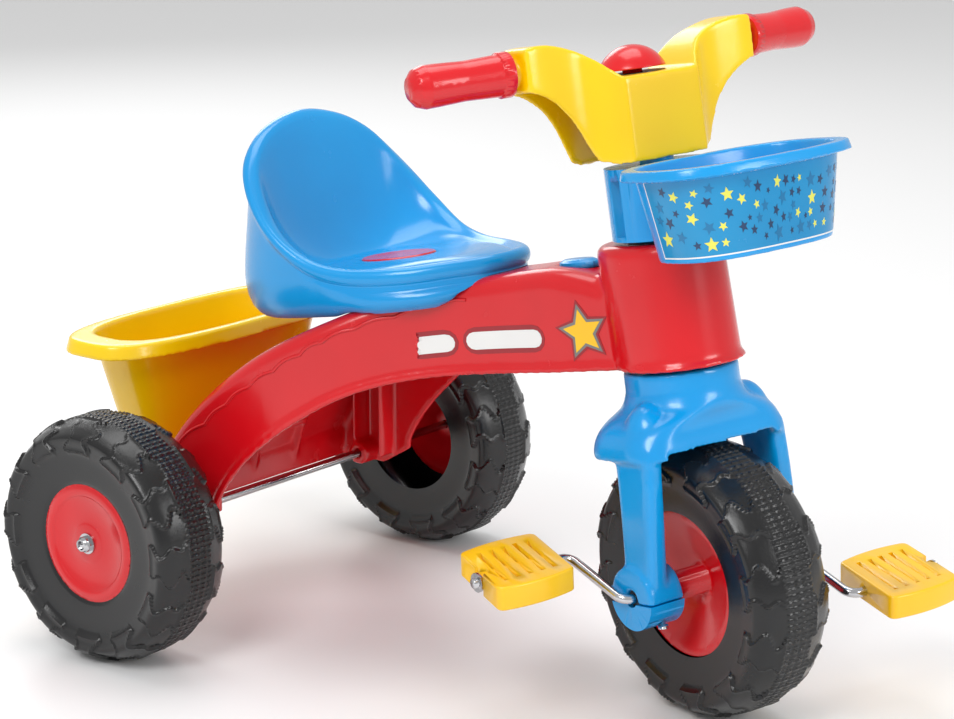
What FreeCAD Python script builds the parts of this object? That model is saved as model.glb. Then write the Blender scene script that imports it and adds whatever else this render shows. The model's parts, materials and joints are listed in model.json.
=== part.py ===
import FreeCAD, Part
import math
import os

# Children's tricycle, in millimetres.  +X is forward, +Y the rider's left, +Z up.
# The origin is on the floor under the middle of the tricycle's bounding box.
# While it is built, x = 0 is the rear axle; everything is shifted at the end.
# What turns with the handlebar is drawn "upright": its origin is the front wheel's
# centre and +Z is the steering axis.  tilt() and steer() carry it into place.

V = FreeCAD.Vector
ORIGIN = V(0, 0, 0)

# ---------------------------------------------------------------- driving sizes
WHEELBASE = 472.0           # rear axle to front wheel centre
TRACK_HALF = 213.0          # middle plane to the middle of a rear wheel
RAKE = 10.0                 # degrees the steering axis leans back
REST_STEER = -17.0          # degrees the handlebar is turned to the right at rest
STEER_LIMIT = 45.0          # degrees to either side of straight ahead

REAR_WHEEL_R = 107.0
FRONT_WHEEL_R = 113.6
FRONT_AXLE_Z = 114.0        # a turned, raked wheel leans a little, so it is a shade smaller
WHEEL_HALF_WIDTH = 36.6
WHEEL_WALL = 3.0
REAR_HUB_R = 52.0
HUB_FACE = 29.3             # a rear hub's middle, out from the wheel's middle
FRONT_HUB_R = 60.0
WHEEL_BOSS_R = 12.0

ROD_R = 4.0                 # rear axle rod and crank wire
WASHER_R = 9.0
WASHER_T = 1.2
NUT_ACROSS = 12.0
NUT_HEIGHT = 6.5
SCREW_R = 2.2
BOLT_R = 2.6
SCREW_HEAD_R = 4.2
SCREW_HEAD_T = 2.4

RUN_GAP = 0.06              # radial clearance of a running fit
FIT_GAP = 0.3               # gap between fixed neighbours

# frame: a hollow beam that widens into an arch over the rear axle
FRAME_WALL = 4.0
FRAME_LIP = 2.4             # how far the rolled lower edge stands out
FRAME_LIP_HEIGHT = 4.5
BEAM_HALF = 38.0            # half width of the beam
BEAM_DEPTH = 84.0           # lower edge to top
ARCH_HALF = 132.0           # half width over the rear axle
FRAME_EDGE_R = 15.0         # rounding along the top edges
LEG_BOTTOM = 96.0
LEG_FRONT = 46.0
LEG_FRONT_BOTTOM = 115.0
LEG_BACK = -38.0
AXLE_BOSS_R = 11.0
AXLE_BOSS_DEPTH = 26.0
CAP_HALF = (18.6, 12.6)      # the beam's oval cap, half length and half width
CAP_SUNK = 1.9
CAP_PEG_R = 2.8

# steering head, measured along the steering axis from the front wheel's centre
HEAD_BOTTOM = 177.0
HEAD_TOP = 278.0
HEAD_BOTTOM_R = 48.5
HEAD_TOP_R = 44.5
HEAD_BOTTOM_TAIL = 6.0       # how far the head runs back into the beam
HEAD_TOP_TAIL = 16.0
HEAD_LIP = 3.0
HEAD_WALL = 4.0
STEM_R = 26.0
NECK_R = 14.0               # the stem above the head, inside the handlebar
BUSH_WALL = 5.0
BUSH_HEIGHT = 14.0

# fork
FORK_SHOULDER_R = 46.5
FORK_SHOULDER_TOP = 175.0
SHOULDER_U = -3.0            # the shoulder sits a little behind the steering axis
CROWN_TOP = 152.0
CROWN_BOTTOM = 110.0
CROWN_HALF_WIDTH = 77.0
CROWN_FRONT = 41.0
CROWN_BACK = 48.0
ARCH_CLEARANCE = 7.0        # between the tyre and the mudguard
ARCH_HALF_WIDTH = 55.0
LEG_INSIDE = 59.0
LEG_OUTSIDE = 78.0
FOOT_R = 26.0
FOOT_INSIDE = 47.0
FOOT_OUTSIDE = 81.0
FOOT_SPLIT = -4.0
FOOT_SCREW_U = 15.5
FOOT_BUSH_WALL = 3.0
FOOT_BUSH_SHORT = 4.0        # how far the bush ends inside the foot, clear of the wire's bend

# handlebar
BAR_BOTTOM = 343.0
BAR_DECK = 411.0
BAR_WALL = 3.2
BAR_DECK_HALF = 36.0
BAR_ARM_END = 113.0
BAR_ARM_TOP = 443.0
BAR_FRONT = 21.0
BAR_BACK = 50.0
GRIP_AXIS_S = 425.5
GRIP_AXIS_U = -18.4
GRIP_R = 17.0
GRIP_LENGTH = 88.0
GRIP_SWEEP = 11.0           # degrees the grips point back
GRIP_PEG_R = 11.0
GRIP_START = 4.2             # gap to the arm's square end, which the swept grip would meet
HORN_R = 28.0
HORN_HEIGHT = 21.0
HORN_U = -17.0
HORN_TRAVEL = 3.0
HORN_STEM_R = 8.0

# basket
BASKET_BOTTOM = 270.0
BASKET_TOP = 343.0
BASKET_CENTRE_U = 99.0
BASKET_RIM = (63.0, 94.0)   # half depth, half width
BASKET_MOUTH = (54.0, 84.0)
BASKET_FLOOR = (45.0, 71.0)
BASKET_WALL = 2.6
BASKET_RIM_T = 8.0
COLLAR_R = 43.0
COLLAR_BOTTOM = 281.0
COLLAR_TOP = 339.0

# crank and pedals
CRANK_THROW = 74.5
CRANK_ANGLE = 13.5          # degrees that the right pedal stands above the axle's level
CRANK_Y = 88.0              # where the wire leaves the fork and turns along the arm
CRANK_BEND_R = 10.0
PEDAL_INSIDE = 103.0
PEDAL_LENGTH = 74.0
PEDAL_DEPTH = 86.0
PEDAL_HEIGHT = 20.0
PEDAL_SKEW = 11.0           # how far the front edge is set sideways
PEDAL_BULGE = 5.0
PEDAL_SLOTS = 5
PEDAL_SLOT_WIDTH = 7.0
PEDAL_RIM = 11.0

# seat, drawn on a base plane that slopes up forward with the beam
SEAT_X = 150.0
SEAT_Z = 300.0
SEAT_TILT = 10.0
SEAT_WIDEST = -30.0
SEAT_SPREAD = 0.0           # narrows the seat on each side
SEAT_PAN = 34.0
SEAT_OVAL = (35.0, 30.0)
SEAT_OVAL_T = 2.5

# rear bucket
BUCKET_X = -88.0
BUCKET_TOP = 252.0
BUCKET_FLOOR = 152.0
BUCKET_RIM = (60.0, 158.0)
BUCKET_MOUTH = (49.0, 130.0)
BUCKET_BASE = (38.0, 96.0)
BUCKET_WALL = 3.0
BUCKET_RIM_T = 14.0
SHELF_T = 5.0
SHELF_HALF = 60.0
BUCKET_SCREW_X = BUCKET_X + 20.0


# ---------------------------------------------------------------- small helpers
def block(x0, x1, y0, y1, z0, z1):
    """A box between six planes."""
    return Part.makeBox(x1 - x0, y1 - y0, z1 - z0, V(x0, y0, z0))


def rod_y(x, z, y0, y1, radius):
    """A cylinder along Y."""
    return Part.makeCylinder(radius, y1 - y0, V(x, y0, z), V(0, 1, 0))


def rod_z(x, y, z0, z1, radius):
    """A cylinder along Z."""
    return Part.makeCylinder(radius, z1 - z0, V(x, y, z0), V(0, 0, 1))


def turned_y(profile):
    """A solid of revolution about Y from (radius, y) points."""
    points = [V(r, y, 0) for r, y in profile]
    return Part.Face(Part.makePolygon(points + points[:1])).revolve(ORIGIN, V(0, 1, 0), 360)


def turned_z(profile):
    """A solid of revolution about Z from (radius, z) points."""
    points = [V(r, 0, z) for r, z in profile]
    return Part.Face(Part.makePolygon(points + points[:1])).revolve(ORIGIN, V(0, 0, 1), 360)


def spline(points):
    """An open smooth edge through points."""
    curve = Part.BSplineCurve()
    curve.interpolate(points)
    return curve.toShape()


def closed_spline(points):
    """A closed smooth wire through points."""
    curve = Part.BSplineCurve()
    curve.interpolate(Points=points, PeriodicFlag=True)
    return Part.Wire([curve.toShape()])


def prism(edges, direction):
    """A solid swept straight from a closed outline of edges."""
    return Part.Face(Part.Wire(Part.__sortEdges__(edges))).extrude(direction)


def superellipse(centre_x, z, half_x, half_y, power, count=24):
    """A closed, rounded outline at height z."""
    points = []
    for i in range(count):
        c = math.cos(2 * math.pi * i / count)
        s = math.sin(2 * math.pi * i / count)
        x = half_x * math.copysign(abs(c) ** (2 / power), c)
        y = half_y * math.copysign(abs(s) ** (2 / power), s)
        points.append(V(centre_x + x, y, z))
    return closed_spline(points)


def rounded_wire(x0, x1, half_y, z, radius):
    """A rectangle with round corners at height z, starting half way along its front."""
    arcs = []
    corners = [(x1, half_y, 0), (x0, half_y, 90), (x0, -half_y, 180), (x1, -half_y, 270)]
    for x, y, start in corners:
        centre = V(x - math.copysign(radius, x - (x0 + x1) / 2), y - math.copysign(radius, y), z)
        points = [centre + V(radius * math.cos(math.radians(start + a)),
                             radius * math.sin(math.radians(start + a)), 0) for a in (0, 45, 90)]
        arcs.append(Part.Arc(*points).toShape())
    edges = []
    for here, after in zip(arcs, arcs[1:] + arcs[:1]):
        edges.append(here)
        edges.append(Part.makeLine(here.lastVertex(True).Point, after.firstVertex(True).Point))
    return Part.Wire(edges)


def loft(wires):
    """A smooth solid through closed wires."""
    return Part.makeLoft(wires, True, False)


def mirrored(shape):
    """The same shape on the rider's other side."""
    return shape.mirror(ORIGIN, V(0, 1, 0))


def tilt(shape):
    """From the upright steering drawing into place, straight ahead."""
    placed = shape.copy()
    placed.rotate(ORIGIN, V(0, 1, 0), -RAKE)
    placed.translate(V(WHEELBASE, 0, FRONT_AXLE_Z))
    return placed


def steer(shape):
    """From the upright steering drawing into place, turned to the rest angle."""
    placed = shape.copy()
    placed.rotate(ORIGIN, V(0, 0, 1), REST_STEER)
    return tilt(placed)


def seated(shape):
    """From the seat's own level drawing onto the sloping base plane."""
    placed = shape.copy()
    placed.rotate(ORIGIN, V(0, 1, 0), -SEAT_TILT)
    placed.translate(V(SEAT_X, 0, SEAT_Z))
    return placed


def screw(x, y, z0, z1, head_down=True):
    """A plain screw along Z with a round head at its lower or upper end."""
    shank = rod_z(x, y, z0, z1, SCREW_R)
    head_z = z0 if head_down else z1 - SCREW_HEAD_T
    return shank.fuse(rod_z(x, y, head_z, head_z + SCREW_HEAD_T, SCREW_HEAD_R))


# ---------------------------------------------------------------- frame
def beam_level(x, height):
    """Height of a line parallel to the beam, measured up from the head's lower edge."""
    slope = math.tan(math.radians(RAKE))
    start = FRONT_AXLE_Z + HEAD_BOTTOM / math.cos(math.radians(RAKE))
    return start + slope * (x - WHEELBASE) + height


def frame_stations():
    """Stations along the frame: x, half width and top height."""
    spread = ARCH_HALF - BEAM_HALF
    head_x = WHEELBASE - math.tan(math.radians(RAKE)) * (HEAD_BOTTOM + HEAD_TOP) / 2
    rows = [(LEG_BACK, 1.0, 118.0), (-24.0, 1.0, 152.0), (8.0, 1.0, 197.0), (50.0, 0.985, 236.0),
            (95.0, 0.92, 268.0), (140.0, 0.74, 293.0), (185.0, 0.42, 315.0), (235.0, 0.12, 332.0)]
    stations = [(x, BEAM_HALF + spread * share, top) for x, share, top in rows]
    for x in (290.0, 345.0, head_x):
        stations.append((x, BEAM_HALF, beam_level(x, BEAM_DEPTH)))
    return stations


def frame_section(x, half, top, bottom, radius):
    """One cross-section of the frame: flat bottom, upright sides, rounded top edges."""
    diagonal = radius * (1 - math.sqrt(0.5))
    left_arc = Part.Arc(V(x, half, top - radius), V(x, half - diagonal, top - diagonal),
                        V(x, half - radius, top))
    right_arc = Part.Arc(V(x, -half + radius, top), V(x, -half + diagonal, top - diagonal),
                         V(x, -half, top - radius))
    edges = [Part.makeLine(V(x, half, bottom), V(x, half, top - radius)),
             left_arc.toShape(),
             Part.makeLine(V(x, half - radius, top), V(x, -half + radius, top)),
             right_arc.toShape(),
             Part.makeLine(V(x, -half, top - radius), V(x, -half, bottom)),
             Part.makeLine(V(x, -half, bottom), V(x, half, bottom))]
    return Part.Wire(edges)


def frame_envelope(inset, top_inset):
    """The frame's outer form down to below the legs, drawn in by an inset."""
    wires = []
    for x, half, top in frame_stations():
        radius = max(FRAME_EDGE_R - inset, 2.0)
        wires.append(frame_section(x, half - inset, top - top_inset, LEG_BOTTOM - 60, radius))
    return loft(wires)


def frame_side_profile(back):
    """The side view of the frame's lower outline, as a prism right across."""
    front_x = WHEELBASE
    arch = [V(LEG_FRONT, 0, LEG_FRONT_BOTTOM + 8), V(62, 0, 149), V(90, 0, 179), V(130, 0, 211),
            V(168, 0, 234), V(210, 0, beam_level(210, 0)), V(270, 0, beam_level(270, 0))]
    far = V(front_x, 0, beam_level(front_x, 0))
    top = LEG_BOTTOM + 400
    corners = [far, V(front_x, 0, top), V(back, 0, top), V(back, 0, LEG_BOTTOM),
               V(LEG_BACK + 52, 0, LEG_BOTTOM), V(LEG_FRONT, 0, LEG_FRONT_BOTTOM), arch[0]]
    edges = [spline(arch), Part.makeLine(arch[-1], far)]
    for here, after in zip(corners, corners[1:]):
        edges.append(Part.makeLine(here, after))
    body = prism(edges, V(0, 2 * ARCH_HALF + 40, 0))
    body.translate(V(0, -ARCH_HALF - 20, 0))
    return body


def head_outer():
    """The steering head's outer form, upright."""
    edge = 8.0
    low_r = HEAD_BOTTOM_R
    top_r = HEAD_TOP_R
    body = loft([rounded_wire(-low_r - HEAD_BOTTOM_TAIL, low_r, low_r, HEAD_BOTTOM, low_r - 0.1),
                 rounded_wire(-top_r - HEAD_TOP_TAIL, top_r, top_r, HEAD_TOP, top_r - 0.1)])
    rim = [e for e in body.Edges if abs(e.BoundBox.ZMin - HEAD_TOP) < 0.01
           and abs(e.BoundBox.ZMax - HEAD_TOP) < 0.01]
    body = body.makeFillet(edge, rim)
    lip_r = low_r + HEAD_LIP
    lip = turned_z([(0, HEAD_BOTTOM), (lip_r, HEAD_BOTTOM), (lip_r, HEAD_BOTTOM + 2.5),
                    (low_r - 1, HEAD_BOTTOM + 6), (0, HEAD_BOTTOM + 6)])
    return body.fuse(lip)


def head_cavity():
    """What is hollow inside the head, upright: above and below the lower bush's web."""
    web = 6.0
    low_r = HEAD_BOTTOM_R - HEAD_WALL
    top_r = HEAD_TOP_R - HEAD_WALL
    lower_web = HEAD_BOTTOM + 4
    middle = turned_z([(STEM_R + BUSH_WALL + 4, lower_web + web + BUSH_HEIGHT),
                       (STEM_R + BUSH_WALL + 4, lower_web + web), (low_r - 1, lower_web + web),
                       (top_r, HEAD_TOP - 8), (STEM_R + BUSH_WALL + 4, HEAD_TOP - 8)])
    bore = rod_z(0, 0, HEAD_BOTTOM - 1, HEAD_TOP + 1, STEM_R + BUSH_WALL)
    mouth = rod_z(0, 0, HEAD_BOTTOM - 1, lower_web, low_r)
    return middle, bore, mouth


def frame_shell():
    """Beam, rear arch and steering head: one hollow moulding, open underneath."""
    profile = frame_side_profile(LEG_BACK)
    envelope = frame_envelope(0, 0)
    hollow = frame_envelope(FRAME_WALL, FRAME_WALL + 1.0)
    hollow = hollow.cut(block(LEG_BACK - 1, LEG_BACK + FRAME_WALL, -200, 200, 0, 500))
    outer = envelope.common(profile)
    stop = tilt(rod_z(0, 0, HEAD_BOTTOM - 20, HEAD_TOP + 20, HEAD_BOTTOM_R - HEAD_WALL / 2))
    raised = profile.copy()
    raised.translate(V(-FRAME_LIP_HEIGHT * 0.7, 0, FRAME_LIP_HEIGHT))
    band = profile.cut(raised).common(frame_envelope(-FRAME_LIP, -FRAME_LIP))
    band = band.common(block(LEG_BACK, 400, -300, 300, 0, beam_level(400, 20)))
    shell = outer.fuse(band).cut(hollow)
    shell = shell.cut(stop)
    head = tilt(head_outer())
    middle, bore, mouth = head_cavity()
    shell = shell.fuse(head)
    for space in (middle, bore, mouth):
        shell = shell.cut(tilt(space))
    for side in (-1, 1):
        near = side * (ARCH_HALF - AXLE_BOSS_DEPTH)
        far = side * (ARCH_HALF - 0.5)
        boss = rod_y(0, REAR_WHEEL_R, min(near, far), max(near, far), AXLE_BOSS_R)
        shell = shell.fuse(boss)
    for x in (-6.0, 26.0):
        web = block(x, x + 3.0, -ARCH_HALF + 2, -ARCH_HALF + AXLE_BOSS_DEPTH, REAR_WHEEL_R, 220)
        for piece in (web, mirrored(web)):
            shell = shell.fuse(piece.common(frame_envelope(1.0, 1.0)))
    for x in (236.0, 300.0):
        web = block(x, x + 3.0, -BEAM_HALF - 40, BEAM_HALF + 40, beam_level(x, 30), 400)
        shell = shell.fuse(web.common(frame_envelope(1.0, 1.0)))
    shelf = block(LEG_BACK - 62, LEG_BACK + 18, -SHELF_HALF, SHELF_HALF,
                  BUCKET_FLOOR - BUCKET_WALL - FIT_GAP - SHELF_T, BUCKET_FLOOR - BUCKET_WALL - FIT_GAP)
    arm = prism([Part.makeLine(V(LEG_BACK - 55, 0, BUCKET_FLOOR - 9), V(LEG_BACK + 16, 0, BUCKET_FLOOR - 9)),
                 Part.makeLine(V(LEG_BACK + 16, 0, BUCKET_FLOOR - 9), V(LEG_BACK + 2, 0, LEG_BOTTOM + 6)),
                 Part.makeLine(V(LEG_BACK + 2, 0, LEG_BOTTOM + 6), V(LEG_BACK - 55, 0, BUCKET_FLOOR - 9))],
                V(0, 5, 0))
    shell = shell.fuse(shelf)
    for y in (-SHELF_HALF, -2.5, SHELF_HALF - 5):
        gusset = arm.copy()
        gusset.translate(V(0, y, 0))
        shell = shell.fuse(gusset)
    shell = shell.cut(rod_y(0, REAR_WHEEL_R, -ARCH_HALF - 9, ARCH_HALF + 9, ROD_R + RUN_GAP))
    for x, y in seat_screw_places():
        shell = shell.cut(rod_z(x, y, beam_level(x, 30), 400, SCREW_R + 0.1))
    for y in bucket_screw_places():
        shell = shell.cut(rod_z(BUCKET_SCREW_X, y, 100, 200, SCREW_R + 0.1))
    shell = shell.cut(cap_recess())
    return shell.removeSplitter()


def seat_screw_places():
    """Where the seat is screwed down, along the beam's middle."""
    return [(120.0, 0.0), (215.0, 0.0)]


def bucket_screw_places():
    """Sideways places of the two screws under the bucket."""
    return [-35.0, 35.0]


def cap_place(height):
    """A point above the beam, between the seat and the head."""
    x = 338.0
    return V(x, 0, beam_level(x, BEAM_DEPTH) + height)


def cap_recess():
    """The shallow seat of the beam's oval cap, with its screw hole."""
    half_x = CAP_HALF[0] + FIT_GAP
    half_y = CAP_HALF[1] + FIT_GAP
    low = -CAP_SUNK - FIT_GAP
    dish = loft([superellipse(0, low, half_x, half_y, 2), superellipse(0, 6.0, half_x, half_y, 2)])
    hole = rod_z(0, 0, -14, 2, CAP_PEG_R + FIT_GAP)
    placed = dish.fuse(hole)
    placed.rotate(ORIGIN, V(0, 1, 0), -RAKE)
    placed.translate(cap_place(0))
    return placed


def beam_cap():
    """Oval plug on the beam behind the steering head."""
    half_x, half_y = CAP_HALF
    base = loft([superellipse(0, -CAP_SUNK, half_x, half_y, 2), superellipse(0, 3.0, half_x, half_y, 2)])
    crown = loft([superellipse(0, 3.0, half_x, half_y, 2), superellipse(0, 5.2, half_x - 4.6, half_y - 3.6, 2)])
    peg = rod_z(0, 0, -9, 0, CAP_PEG_R)
    placed = base.fuse(crown).fuse(peg)
    placed.rotate(ORIGIN, V(0, 1, 0), -RAKE)
    placed.translate(cap_place(0))
    return placed


def head_bush(bottom):
    """A plain ring that the fork's stem turns in, upright."""
    return turned_z([(STEM_R + RUN_GAP, bottom), (STEM_R + BUSH_WALL - 0.02, bottom),
                     (STEM_R + BUSH_WALL - 0.02, bottom + BUSH_HEIGHT),
                     (STEM_R + RUN_GAP, bottom + BUSH_HEIGHT)])


def rear_axle():
    """The steel rod that both rear wheels turn on."""
    reach = TRACK_HALF + WHEEL_HALF_WIDTH - 0.6
    return rod_y(0, REAR_WHEEL_R, -reach, reach, ROD_R)


def axle_tubes():
    """Spacer tubes between the frame's legs and the rear wheels."""
    inner = ARCH_HALF + FRAME_LIP + FIT_GAP
    outer = TRACK_HALF - WHEEL_HALF_WIDTH - 0.6
    ring = rod_y(0, REAR_WHEEL_R, inner, outer, 9.0)
    ring = ring.cut(rod_y(0, REAR_WHEEL_R, inner - 1, outer + 1, ROD_R + 0.05))
    return Part.makeCompound([ring, mirrored(ring)])


def axle_washers():
    """A flat washer outside each rear hub."""
    start = TRACK_HALF + HUB_FACE + FIT_GAP
    ring = rod_y(0, REAR_WHEEL_R, start, start + WASHER_T, WASHER_R)
    ring = ring.cut(rod_y(0, REAR_WHEEL_R, start - 1, start + 3, ROD_R + 0.05))
    return Part.makeCompound([ring, mirrored(ring)])


def axle_nuts():
    """A lock nut on each end of the axle rod."""
    start = TRACK_HALF + HUB_FACE + FIT_GAP + WASHER_T + 0.05
    radius = NUT_ACROSS / math.sqrt(3)
    corners = []
    for i in range(7):
        angle = math.radians(60 * i)
        corners.append(V(radius * math.cos(angle), start, REAR_WHEEL_R + radius * math.sin(angle)))
    nut = Part.Face(Part.makePolygon(corners)).extrude(V(0, NUT_HEIGHT * 0.65, 0))
    collar = rod_y(0, REAR_WHEEL_R, start, start + NUT_HEIGHT, NUT_ACROSS / 2 - 0.6)
    nut = nut.fuse(collar).cut(rod_y(0, REAR_WHEEL_R, start - 1, start + 12, ROD_R + 0.02))
    return Part.makeCompound([nut, mirrored(nut)])


# ---------------------------------------------------------------- seat and bucket
def pear(q, rear, half_width, front, count=28):
    """The seat's outline at height q: square behind, narrowing to a nose in front."""
    points = []
    for i in range(count):
        angle = 2 * math.pi * i / count
        c = math.cos(angle)
        s = math.sin(angle)
        if c > 0:
            share = c ** 1.5
            p = SEAT_WIDEST + front * share
            y = half_width * math.copysign((1 - share ** 1.25) ** 0.8, s)
        else:
            p = SEAT_WIDEST - rear * abs(c) ** 0.75
            y = half_width * math.copysign(abs(s) ** 0.75, s)
        if i == 0:
            y = 0.0
        points.append(V(p, y, q))
    return closed_spline(points)


def seat_layers():
    """The seat's outside, as outlines from its lower edge upwards."""
    rows = [(-2.0, 88.0, 92.0, 137.0), (22.0, 104.0, 103.0, 169.0), (40.0, 107.0, 108.0, 162.0),
            (66.0, 101.0, 109.0, 150.0), (100.0, 85.0, 104.0, 140.0), (134.0, 69.0, 92.0, 130.0),
            (154.0, 62.0, 76.0, 120.0), (172.0, 54.0, 46.0, 110.0)]
    return [pear(q, rear, half - SEAT_SPREAD, front) for q, rear, half, front in rows]


def bowl_layers():
    """The hollow that the child sits in, as outlines from the pan upwards."""
    rows = [(SEAT_PAN, 38.0, 90.0, 190.0), (60.0, 45.0, 101.0, 190.0), (100.0, 50.0, 98.0, 190.0),
            (134.0, 52.0, 86.0, 190.0), (154.0, 52.0, 70.0, 190.0), (176.0, 48.0, 34.0, 190.0)]
    return [pear(q, rear, half - SEAT_SPREAD, front) for q, rear, half, front in rows]


def seat_rim_cut():
    """Everything above the seat's rim, seen from the side."""
    rim = [V(-70, 0, 186), V(-74, 0, 165), V(-79, 0, 150), V(-77, 0, 132), V(-62, 0, 99),
           V(-26, 0, 62), V(10, 0, 43), V(55, 0, 37), V(85, 0, 38), V(129, 0, 39), V(160, 0, 37)]
    edges = [spline(rim), Part.makeLine(rim[-1], V(220, 0, 300)),
             Part.makeLine(V(220, 0, 300), V(-70, 0, 300)), Part.makeLine(V(-70, 0, 300), rim[0])]
    solid = prism(edges, V(0, 400, 0))
    solid.translate(V(0, -200, 0))
    return solid


def seat():
    """Bucket seat: a moulded shell with a raised back, hollow underneath."""
    body = loft(seat_layers()).cut(seat_rim_cut()).cut(loft(bowl_layers()))
    under = loft([pear(q, rear, half - SEAT_SPREAD, front) for q, rear, half, front in
                  ((-12.0, 78.0, 84.0, 128.0), (SEAT_PAN - 6.0, 92.0, 95.0, 158.0))])
    body = body.cut(under)
    rim_a, rim_b = SEAT_OVAL
    body = body.cut(loft([superellipse(0, SEAT_PAN - SEAT_OVAL_T, rim_a, rim_b, 2),
                          superellipse(0, SEAT_PAN + 20, rim_a, rim_b, 2)]))
    body = seated(body)
    for x, y in seat_screw_places():
        body = body.fuse(seat_boss(x, y))
    body = body.cut(frame_envelope(-FIT_GAP, -FIT_GAP))
    for x, y in seat_screw_places():
        body = body.cut(rod_z(x, y, 200, frame_top(x) + 9.5, SCREW_R + 0.05))
    return body.removeSplitter()


def seat_boss(x, y):
    """A post under the seat pan that takes a screw."""
    tall = seated(block(-200, 200, -200, 200, -60, SEAT_PAN - 4))
    return rod_z(x, y, 250, 400, 8.0).common(tall)


def seat_insert():
    """Oval plate let into the seat pan."""
    rim_a, rim_b = SEAT_OVAL
    low = SEAT_PAN - SEAT_OVAL_T + 0.1
    plate = loft([superellipse(0, low, rim_a - FIT_GAP, rim_b - FIT_GAP, 2),
                  superellipse(0, low + SEAT_OVAL_T, rim_a - FIT_GAP, rim_b - FIT_GAP, 2)])
    return seated(plate)


def seat_screws():
    """Two screws up through the beam into the seat."""
    solids = []
    for x, y in seat_screw_places():
        top = frame_top(x)
        solids.append(screw(x, y, top - FRAME_WALL - SCREW_HEAD_T - 5.0, top + 9))
    return Part.makeCompound(solids)


def frame_top(x):
    """Height of the frame's top at x, read between the stations."""
    rows = [(station[0], station[2]) for station in frame_stations()]
    for (x0, z0), (x1, z1) in zip(rows, rows[1:]):
        if x0 <= x <= x1:
            return z0 + (z1 - z0) * (x - x0) / (x1 - x0)
    return rows[-1][1]


def tub(floor_z, top_z, base, mouth, wall, power):
    """An open tapered tub: outer form and the smaller one that hollows it above its floor."""
    over = (top_z + 10 - floor_z) / (top_z - floor_z)
    outer = loft([superellipse(0, floor_z - wall, base[0], base[1], power),
                  superellipse(0, top_z, mouth[0], mouth[1], power)])
    beyond = [base[i] + (mouth[i] - base[i]) * over - wall for i in (0, 1)]
    inner = loft([superellipse(0, floor_z, base[0] - wall, base[1] - wall, power),
                  superellipse(0, top_z + 10, beyond[0], beyond[1], power)])
    return outer, inner


def bucket():
    """Rear bucket: a tapered tub with a broad turned-down rim."""
    power = 3.0
    outer, inner = tub(BUCKET_FLOOR, BUCKET_TOP, BUCKET_BASE, BUCKET_MOUTH, BUCKET_WALL, power)
    rim_low = BUCKET_TOP - BUCKET_RIM_T
    rim = loft([superellipse(0, rim_low, BUCKET_RIM[0], BUCKET_RIM[1], power),
                superellipse(0, BUCKET_TOP, BUCKET_RIM[0] - 4, BUCKET_RIM[1] - 4, power)])
    under = loft([superellipse(0, rim_low - 1, BUCKET_RIM[0] - BUCKET_WALL, BUCKET_RIM[1] - BUCKET_WALL, power),
                  superellipse(0, BUCKET_TOP - BUCKET_WALL, BUCKET_RIM[0] - 4 - BUCKET_WALL,
                               BUCKET_RIM[1] - 4 - BUCKET_WALL, power)])
    body = outer.fuse(rim.cut(under)).cut(inner)
    body.translate(V(BUCKET_X, 0, 0))
    for y in bucket_screw_places():
        body = body.cut(rod_z(BUCKET_SCREW_X, y, 100, BUCKET_FLOOR - 0.4, SCREW_R + 0.1))
    return body.removeSplitter()


def bucket_screws():
    """Two screws up through the frame's shelf into the bucket's floor."""
    solids = []
    head = BUCKET_FLOOR - BUCKET_WALL - FIT_GAP - SHELF_T - 0.1 - SCREW_HEAD_T
    for y in bucket_screw_places():
        solids.append(screw(BUCKET_SCREW_X, y, head, BUCKET_FLOOR - 0.5))
    return Part.makeCompound(solids)


# ---------------------------------------------------------------- rear wheels
def tyre_points(radius, hub_r):
    """Half of a tyre's outside: (radius, y) from the crown to the hub opening."""
    b = WHEEL_HALF_WIDTH
    return [(radius, 0.24 * b), (0.972 * radius, 0.60 * b), (0.935 * radius, 0.78 * b),
            (0.885 * radius, b), (0.82 * radius, 0.96 * b), (hub_r + 0.5, 0.83 * b)]


def tyre_inside(radius, hub_r):
    """The same half, one wall thickness inside."""
    b = WHEEL_HALF_WIDTH - WHEEL_WALL
    r = radius - WHEEL_WALL
    return [(r, 0.24 * b), (0.972 * r, 0.60 * b), (0.935 * r, 0.78 * b),
            (0.885 * r, b), (0.82 * r, 0.955 * b), (hub_r + 0.5, 0.83 * b)]


def rear_tyre():
    """Blow-moulded rear wheel, +Y outwards: closed inside, open outside for the hub disc."""
    bore = ROD_R + RUN_GAP
    outside = tyre_points(REAR_WHEEL_R, REAR_HUB_R)
    inside = tyre_inside(REAR_WHEEL_R, REAR_HUB_R)
    boss = WHEEL_BOSS_R
    face = WHEEL_HALF_WIDTH - 1.0
    profile = [(bore, -face), (boss, -face), (boss, -0.62 * WHEEL_HALF_WIDTH)]
    profile += [(r, -y) for r, y in reversed(outside)]
    profile += outside + list(reversed(inside))
    profile += [(r, -y) for r, y in inside]
    profile += [(boss, -0.62 * WHEEL_HALF_WIDTH + WHEEL_WALL), (boss, 24.0), (bore, 24.0)]
    return turned_y(profile)


def rear_hub():
    """Dished disc that closes the outside of a rear wheel, +Y outwards."""
    bore = ROD_R + 0.3
    rim = REAR_HUB_R
    return turned_y([(bore, 24.2), (14, 24.2), (14, 25.6), (rim - 8, 25.6), (rim - 3, 24.4), (rim, 24.4),
                     (rim, 29.4), (rim - 4, 31.0), (rim - 9, 31.0), (rim - 12, 28.6), (18, 28.6),
                     (16, HUB_FACE), (bore, HUB_FACE)])


def rear_wheel_pieces(side):
    """A rear wheel's pieces on side +1 (left) or -1 (right)."""
    placed = []
    for shape in (rear_tyre(), rear_hub()):
        piece = shape if side > 0 else mirrored(shape)
        piece.translate(V(0, side * TRACK_HALF, REAR_WHEEL_R))
        placed.append(piece)
    return placed


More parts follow.
